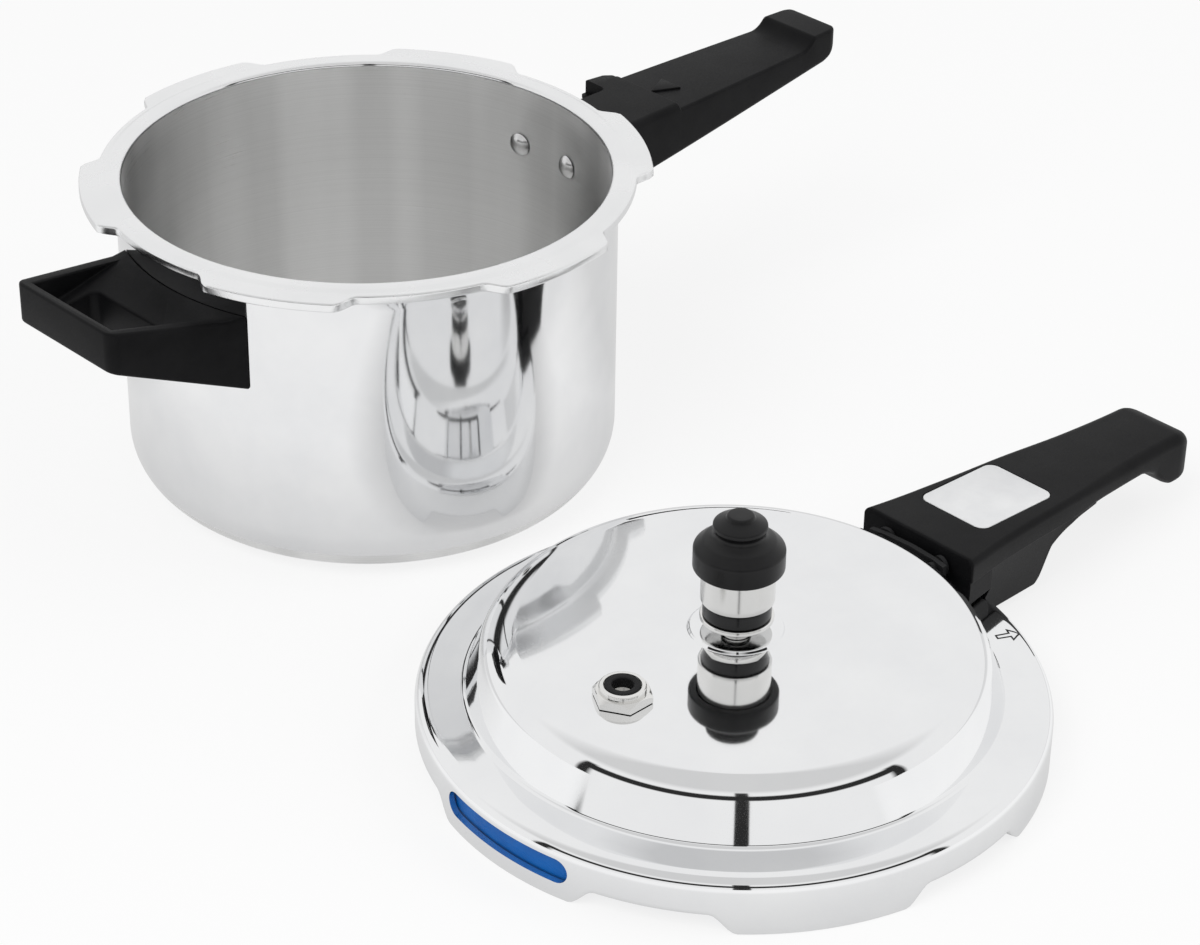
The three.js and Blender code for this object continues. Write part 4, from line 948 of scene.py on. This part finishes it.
VENT_CORNERS = [
    (1.7, 32.7, 0), (4.0, 32.7, 0.4), (4.0, 44.5, 0), (5.05, 44.5, 0.2), (5.05, 56.7, 0.4),
    (2.7, 59.2, 0.3), (1.7, 59.2, 0), (1.7, 32.7, 0),
]
WEIGHT_CORNERS = [
    (5.5, 47.4, 0), (12.4, 47.4, 0.5), (12.4, 49.2, 0.35), (10.35, 49.2, 0), (10.35, 55.1, 0),
    (12.4, 55.1, 0.35), (12.4, 70.0, 0.4), (8.0, 70.0, 0), (8.0, 75.0, 0.4), (2.9, 75.0, 0),
    (2.9, 59.65, 0), (5.5, 59.65, 0), (5.5, 47.4, 0),
]
BAND_CORNERS = [
    (10.65, 49.5, 0), (11.55, 49.5, 0.3), (11.55, 54.8, 0.3), (10.65, 54.8, 0), (10.65, 49.5, 0),
]
CAP_CORNERS = [
    (12.7, 67.4, 0), (15.3, 67.4, 0.7), (15.3, 75.0, 2.0), (12.0, 77.9, 3.0), (7.4, 79.9, 2.2),
    (9.1, 82.7, 0.8), (9.0, 84.0, 0.8), (4.9, 86.0, 1.0), (4.4, 87.4, 0.9), (0.0, 87.4, 0),
    (0.0, 75.3, 0), (8.3, 75.3, 0), (8.3, 70.3, 0), (12.7, 70.3, 0), (12.7, 67.4, 0),
]
for node, corners, steps, material, body, slot in (
    ("vent_tube", VENT_CORNERS, 64, steel_metal, "lid", "steel"),
    ("weight_body", WEIGHT_CORNERS, 128, steel_metal, "weight", "weight_steel"),
    ("weight_band", BAND_CORNERS, 128, band_black, "weight", "gloss_black"),
    ("weight_cap", CAP_CORNERS, 128, cap_black, "weight", "gloss_black"),
):
    piece = plain_turned(node + "_smooth", corners, LID, steps)
    stand_for(dress(piece, material), node, body)


# The safety plug

PLUG_FLATS = 17.7  # across the hexagon
PLUG_BORE = 3.55
plug_place = (plug_axis.x, plug_axis.y, 0)


def stub(name, radius, low, high, foot=0, crown=0, steps=96):
    """A plain cylinder on the plug's axis, its lower and upper edge rounded."""
    corners = [(0, low, 0), (radius, low, foot), (radius, high, crown), (0, high, 0)]
    return plain_turned(name, corners, plug_place, steps)


hexagon = arc(0, 0, PLUG_FLATS / math.sqrt(3), 0, 300, 5)
plug = prism("safety_plug_smooth", hexagon, 43.3, 46.5, offset=plug_place)
chamfer_corners = [(0, 43.0, 0), (10.3, 43.0, 0), (10.3, 45.0, 0), (8.6, 46.6, 0), (0, 46.6, 0)]
boolean(plug, [plain_turned("plug_chamfer", chamfer_corners, plug_place)], "INTERSECT")
collar = stub("plug_collar", 7.8, 44.0, 48.2, crown=0.5)
shank = stub("plug_shank", 6, 32.7, 44.0, foot=0.4)
boolean(plug, [collar, shank], "UNION")
boolean(plug, [stub("plug_seat", 6.3, 44.6, 50), stub("plug_passage", PLUG_BORE, 30, 50, steps=64)], sharp=30)
bevelled(plug, 0.25, 2, 30, 40)
stand_for(dress(plug, steel_metal), "safety_plug_body", "lid")

insert = plain_turned(
    "safety_plug_insert_smooth",
    [(PLUG_BORE, 44.9, 0), (6.0, 44.9, 0), (6.0, 48.5, 0.5), (PLUG_BORE, 48.5, 0.6), (PLUG_BORE, 44.9, 0)],
    plug_place,
)
stand_for(dress(insert, rubber), "safety_plug_insert", "lid")


# The lid handle: an upper part of even depth over a front block, a web and a curve to the grip

def handle_crown(x):
    """Height of the handle's top, which falls towards the tip."""
    return LID_HANDLE_TOP - (x - LID_HANDLE_FRONT) * LID_HANDLE_SLOPE


END = LID_HANDLE_TIP
WEB = SKIRT_OUTER + 1.2
WEB_BOTTOM = 4.2
GRIP_DEPTH = 8.6
BLOCK_BOTTOM = LID_HANDLE_TOP - 18.1
HOOK_START = END - 34.0
HOOK_BOTTOM = handle_crown(END) - 19.0
END_ROUNDING = 12.0
HOOK_ROUNDING = 7.0
FRONT_ROUNDING = 1.2
PARTING = 0.5  # by which the lower part stands back
TIP_HALF = 15.4
WAIST = 154.8
WEB_END = 139.5
GRIP_START = 168.8
BADGE_LENGTH = 39.5
BADGE_WIDTH = 29.7
BADGE_CORNER = 4.0
BADGE_REACH = 14.6  # from the handle's front
BADGE_SHIFT = 2.2  # to the left
# Half-widths, and the heights of the lower edge, along the handle
handle_width = through(
    [(DOME_RADIUS, 27.2), (116.2, 22.1), (WAIST, 19.2), (END - END_ROUNDING, TIP_HALF), (END, TIP_HALF)]
)
hook_curve = through(
    [(HOOK_START, handle_crown(HOOK_START) - GRIP_DEPTH), (206.6, 22.8), (211.5, 17.9), (214.6, 15.6),
     (218.5, HOOK_BOTTOM), (END, HOOK_BOTTOM)]
)
web_curve = through(
    [(WEB, WEB_BOTTOM), (WEB_END, WEB_BOTTOM), (141.2, 6.0), (144.8, 19.8), (WAIST, 25.5),
     (GRIP_START, handle_crown(GRIP_START) - GRIP_DEPTH)]
)


def upper_ring(x):
    """The upper part's section."""
    inset = circle_drop(-x, -LID_HANDLE_FRONT - FRONT_ROUNDING, FRONT_ROUNDING)
    end = circle_drop(x, END - END_ROUNDING, END_ROUNDING)
    bottom = handle_crown(x) - GRIP_DEPTH
    if x > HOOK_START:
        bottom = hook_curve(x) + circle_drop(x, END - HOOK_ROUNDING, HOOK_ROUNDING)
    edge = 2.4 + 1.4 * smooth_step(150, 190, x)
    under = 0.4 + 2.2 * smooth_step(150, 175, x)
    return section(handle_crown(x) - inset - end, bottom, handle_width(x) - inset - end, edge, under)


def lower_ring(x):
    """The section of the front block and, behind it, the web that narrows downwards."""
    top = handle_crown(x) - GRIP_DEPTH + 1
    half = handle_width(x) - PARTING
    if x < WEB:
        return section(top, BLOCK_BOTTOM, half, 0.3, 0.8)
    bottom = web_curve(x)
    return section(top, bottom, half, 0.3, 1.4, min(half, 14.6 + 3.6 * bottom / BLOCK_BOTTOM))


# Places of the sections, closer together where the form turns
upper_xs = [LID_HANDLE_FRONT + step for step in (0, 0.1, 0.3, 0.6, 0.9, 1.2)]
upper_xs += spread(98, HOOK_START, 2.4)
upper_xs += spread(HOOK_START + 1, 220, 0.7) + spread(220.3, END - 0.4, 0.4) + [END - 0.2, END - 0.05]
lower_xs = spread(LID_HANDLE_FRONT + 0.2, WEB - 0.4, 1.5) + spread(WEB, WEB_END - 0.5, 3)
lower_xs += spread(WEB_END, 146, 0.4) + spread(147, GRIP_START - 0.2, 1.2)
front_bend = wall_bend(60.0, LID_HANDLE_FRONT, 26)
lid_handle = loft("lid_handle_moulding", [(x, upper_ring(x)) for x in upper_xs], front_bend)
lower = loft("lid_handle_lower", [(x, lower_ring(x)) for x in lower_xs], front_bend)
lid_room_path = [(0.0, 0.0), (SKIRT_OUTER + SEAT_GAP, 0.0)]
lid_room_path += arc(EDGE_RING, EDGE_CENTRE, EDGE + SEAT_GAP, 0, 90, 16) + [(0.0, FLANGE + SEAT_GAP)]
lid_room = turned("lid_room", lambda angle: lid_room_path, steps=240)
boolean(lid_handle, [lower], "UNION")
badge_place = (
    Matrix.Translation(Vector((LID_HANDLE_FRONT, 0, LID_HANDLE_TOP)) * MM)
    @ Matrix.Rotation(math.atan(LID_HANDLE_SLOPE), 4, "Y")
    @ Matrix.Translation(Vector((BADGE_REACH + BADGE_LENGTH / 2, BADGE_SHIFT, 0)) * MM)
)
room = 2 * SEAT_GAP
recess_outline = rounded_rectangle(BADGE_LENGTH + room, BADGE_WIDTH + room, BADGE_CORNER + SEAT_GAP)
recess = prism("badge_recess", recess_outline, -1.3, 3)
recess.data.transform(badge_place)
lid_screw_hole = screw_hole("lid_screw_hole", DOME_RADIUS + 34.0, 0.0, WEB_BOTTOM + 15.0)
boolean(lid_handle, [lid_room, recess, lid_screw_hole])
moved_to_lid(lid_handle)
stand_for(dress(lid_handle, bakelite), "lid_handle", "lid")

badge_outline = rounded_rectangle(BADGE_LENGTH, BADGE_WIDTH, BADGE_CORNER)
badge = prism("lid_handle_badge_plate", badge_outline, -1.0, 0.0)
bevelled(badge, 0.25, 2, 40, 60)
badge.data.transform(Matrix.Translation(LID * MM) @ badge_place)
stand_for(dress(badge, badge_silver), "lid_handle_badge", "lid")


# Hardware that keeps its solid

for name, node in nodes.items():
    # The lid handle's steel bracket is dressed in black rubber: painted shade for the dark gap between the
    # handle and the dome.
    if name == "lid_handle_bracket":
        dress(node, rubber)
    elif name.endswith(("_bracket", "_screw", "_nut", "_pin")):
        dress(node, plain_steel)
    elif name.endswith("_washer"):
        dress(node, rubber)


# Studio

CAMERA_PLACE = Vector((-0.7152, -0.8509, 0.6737))
CAMERA_ROLL = math.radians(0.93)
FLOOR_HALF = 6.0
FLOOR_SHOWN = 0.8  # share of plain white in what the camera and metal see of the floor
FLOOR_SHADE_BEHIND = 0.26  # painted shade: how much greyer metal sees the floor behind the pot
FLOOR_SHADE_BESIDE = 0.3  # painted contact shadow: how much greyer metal sees the floor close to the pot and the lid
TENT_WHITE = 0.91  # what metal sees of the tent
TENT_DARK = 0.03  # share of it in the gaps
TENT_ROOF = 0.22  # how much greyer the roof over the camera is
TENT_SOFT = 0.55  # light on everything that is not mirrored

camera_data = bpy.data.cameras.new("photo_camera")
camera_data.sensor_width = 36.0
camera_data.sensor_fit = "HORIZONTAL"
camera_data.lens = 101.9
camera_data.clip_end = 50.0
camera = bpy.data.objects.new("photo_camera", camera_data)
bpy.context.scene.collection.objects.link(camera)
forward = Vector((0.5972, 0.6078, -0.5234)).normalized()
level = Vector((0.7133, -0.7009, 0.0)).normalized()
upward = level.cross(forward)
right = math.cos(CAMERA_ROLL) * level + math.sin(CAMERA_ROLL) * upward
above = -math.sin(CAMERA_ROLL) * level + math.cos(CAMERA_ROLL) * upward
axes = Matrix((right, above, -forward)).transposed().to_4x4()
camera.matrix_world = Matrix.Translation(CAMERA_PLACE) @ axes
bpy.context.scene.camera = camera

floor_mesh = bpy.data.meshes.new("floor")
floor_corners = [(x * FLOOR_HALF, y * FLOOR_HALF, 0) for x, y in ((-1, -1), (1, -1), (1, 1), (-1, 1))]
floor_mesh.from_pydata(floor_corners, [], [(0, 1, 2, 3)])
floor = bpy.data.objects.new("floor", floor_mesh)
bpy.context.scene.collection.objects.link(floor)


def shown_rays(tree):
    """1 for the rays that show a surface: camera, glossy and transmission rays."""
    path = add_node(tree, "ShaderNodeLightPath")
    first = math_node(tree, "MAXIMUM", path.outputs["Is Camera Ray"], path.outputs["Is Glossy Ray"])
    return math_node(tree, "MAXIMUM", first, path.outputs["Is Transmission Ray"])


floor_material = bpy.data.materials.new("floor_white")
floor_material.use_nodes = True
tree = floor_material.node_tree
tree.nodes.remove(tree.nodes["Principled BSDF"])
diffuse = add_node(tree, "ShaderNodeBsdfDiffuse", {"Color": (0.9, 0.9, 0.9, 1)})
place = object_point(tree)
# Painted shade that only reflections show: the floor turns greyer behind the pot and close to the pot and the
# lid.
mirrored = add_node(tree, "ShaderNodeLightPath").outputs["Is Glossy Ray"]
painted_floor_shade = ranged(tree, vector_measure(tree, "DOT_PRODUCT", place, BEHIND), 0.0, FLOOR_SHADE_BEHIND, -40.0, 60.0)
for centre, edge, reach in (((0, 0, 0), POT_RADIUS, 100.0), ((LID.x, LID.y, 0), SKIRT_OUTER, 45.0)):
    apart = vector_measure(tree, "DISTANCE", place, centre)
    painted_floor_shade = math_node(tree, "MAXIMUM", painted_floor_shade, ranged(tree, apart, FLOOR_SHADE_BESIDE, 0.0, edge, edge + reach))
white = math_node(tree, "SUBTRACT", 1.0, math_node(tree, "MULTIPLY", mirrored, painted_floor_shade))
glow = add_node(tree, "ShaderNodeEmission", {"Color": (1, 1, 1, 1), "Strength": white})
share = math_node(tree, "MULTIPLY", shown_rays(tree), FLOOR_SHOWN)
mixed = add_node(tree, "ShaderNodeMixShader", {0: share, 1: diffuse.outputs[0], 2: glow.outputs[0]})
tree.links.new(mixed.outputs[0], tree.nodes["Material Output"].inputs["Surface"])
floor_mesh.materials.append(floor_material)

world = bpy.data.worlds.new("studio")
bpy.context.scene.world = world
world.use_nodes = True
tree = world.node_tree
backdrop = tree.nodes["Background"]


def tent_light(tree):
    """What polished metal sees of the white tent: bright at the back, greyer over the camera, with
    a dark slit. Facing is 1 towards the camera, and height is 1 overhead.
    """
    direction = add_node(tree, "ShaderNodeTexCoord").outputs["Generated"]
    bearing = vector_node(tree, "NORMALIZE", level_part(tree, direction))
    facing = vector_measure(tree, "DOT_PRODUCT", bearing, FRONT)
    height = height_of(tree, direction)

    def after(value, low, high):
        return ranged(tree, value, 0.0, 1.0, low, high)

    def until(value, low, high):
        return ranged(tree, value, 1.0, 0.0, low, high)

    roof = product(tree, after(facing, -0.4, 0.2), after(height, 0.54, 0.66))
    slit = product(tree, after(facing, 0.36, 0.42), after(height, 0.22, 0.26), until(height, 0.42, 0.46))
    ends = product(tree, after(facing, 0.33, 0.36), until(facing, 0.42, 0.46), until(height, 0.44, 0.5))
    camera_gap = product(tree, after(facing, 0.9990, 0.9994), until(height, 0.55, 0.6))
    dark = math_node(tree, "MAXIMUM", math_node(tree, "MAXIMUM", slit, ends), camera_gap)
    lit = math_node(tree, "SUBTRACT", TENT_WHITE, math_node(tree, "MULTIPLY", roof, TENT_ROOF))
    return product(tree, lit, ranged(tree, dark, 1.0, TENT_DARK, 0.0, 1.0))


path = add_node(tree, "ShaderNodeLightPath")
mirror_light = math_node(tree, "MULTIPLY", tent_light(tree), path.outputs["Is Glossy Ray"])
seen = math_node(tree, "MAXIMUM", path.outputs["Is Camera Ray"], path.outputs["Is Transmission Ray"])
hidden = math_node(tree, "SUBTRACT", 1.0, shown_rays(tree))
soft = math_node(tree, "MULTIPLY", hidden, TENT_SOFT)
strength = math_node(tree, "ADD", math_node(tree, "MAXIMUM", seen, mirror_light), soft)
backdrop.inputs["Color"].default_value = (1, 1, 1, 1)
link(tree, strength, backdrop, "Strength")


def panel(name, place, target, size, power):
    """A soft light panel aimed at a point."""
    data = bpy.data.lights.new(name, "AREA")
    data.shape = "RECTANGLE"
    data.size, data.size_y = size
    data.energy = power
    lamp = bpy.data.objects.new(name, data)
    lamp.location = place
    lamp.rotation_euler = (Vector(target) - Vector(place)).to_track_quat("-Z", "Y").to_euler()
    lamp.visible_glossy = False
    bpy.context.scene.collection.objects.link(lamp)


AIM = (0, -0.1, 0.05)  # between the pot and the lid
panel("key", (-1.6, -0.4, 1.9), AIM, (1.4, 1.4), 26)
panel("fill", (1.4, -1.5, 1.4), AIM, (1.6, 1.2), 14)
bpy.context.scene.view_settings.view_transform = "Standard"
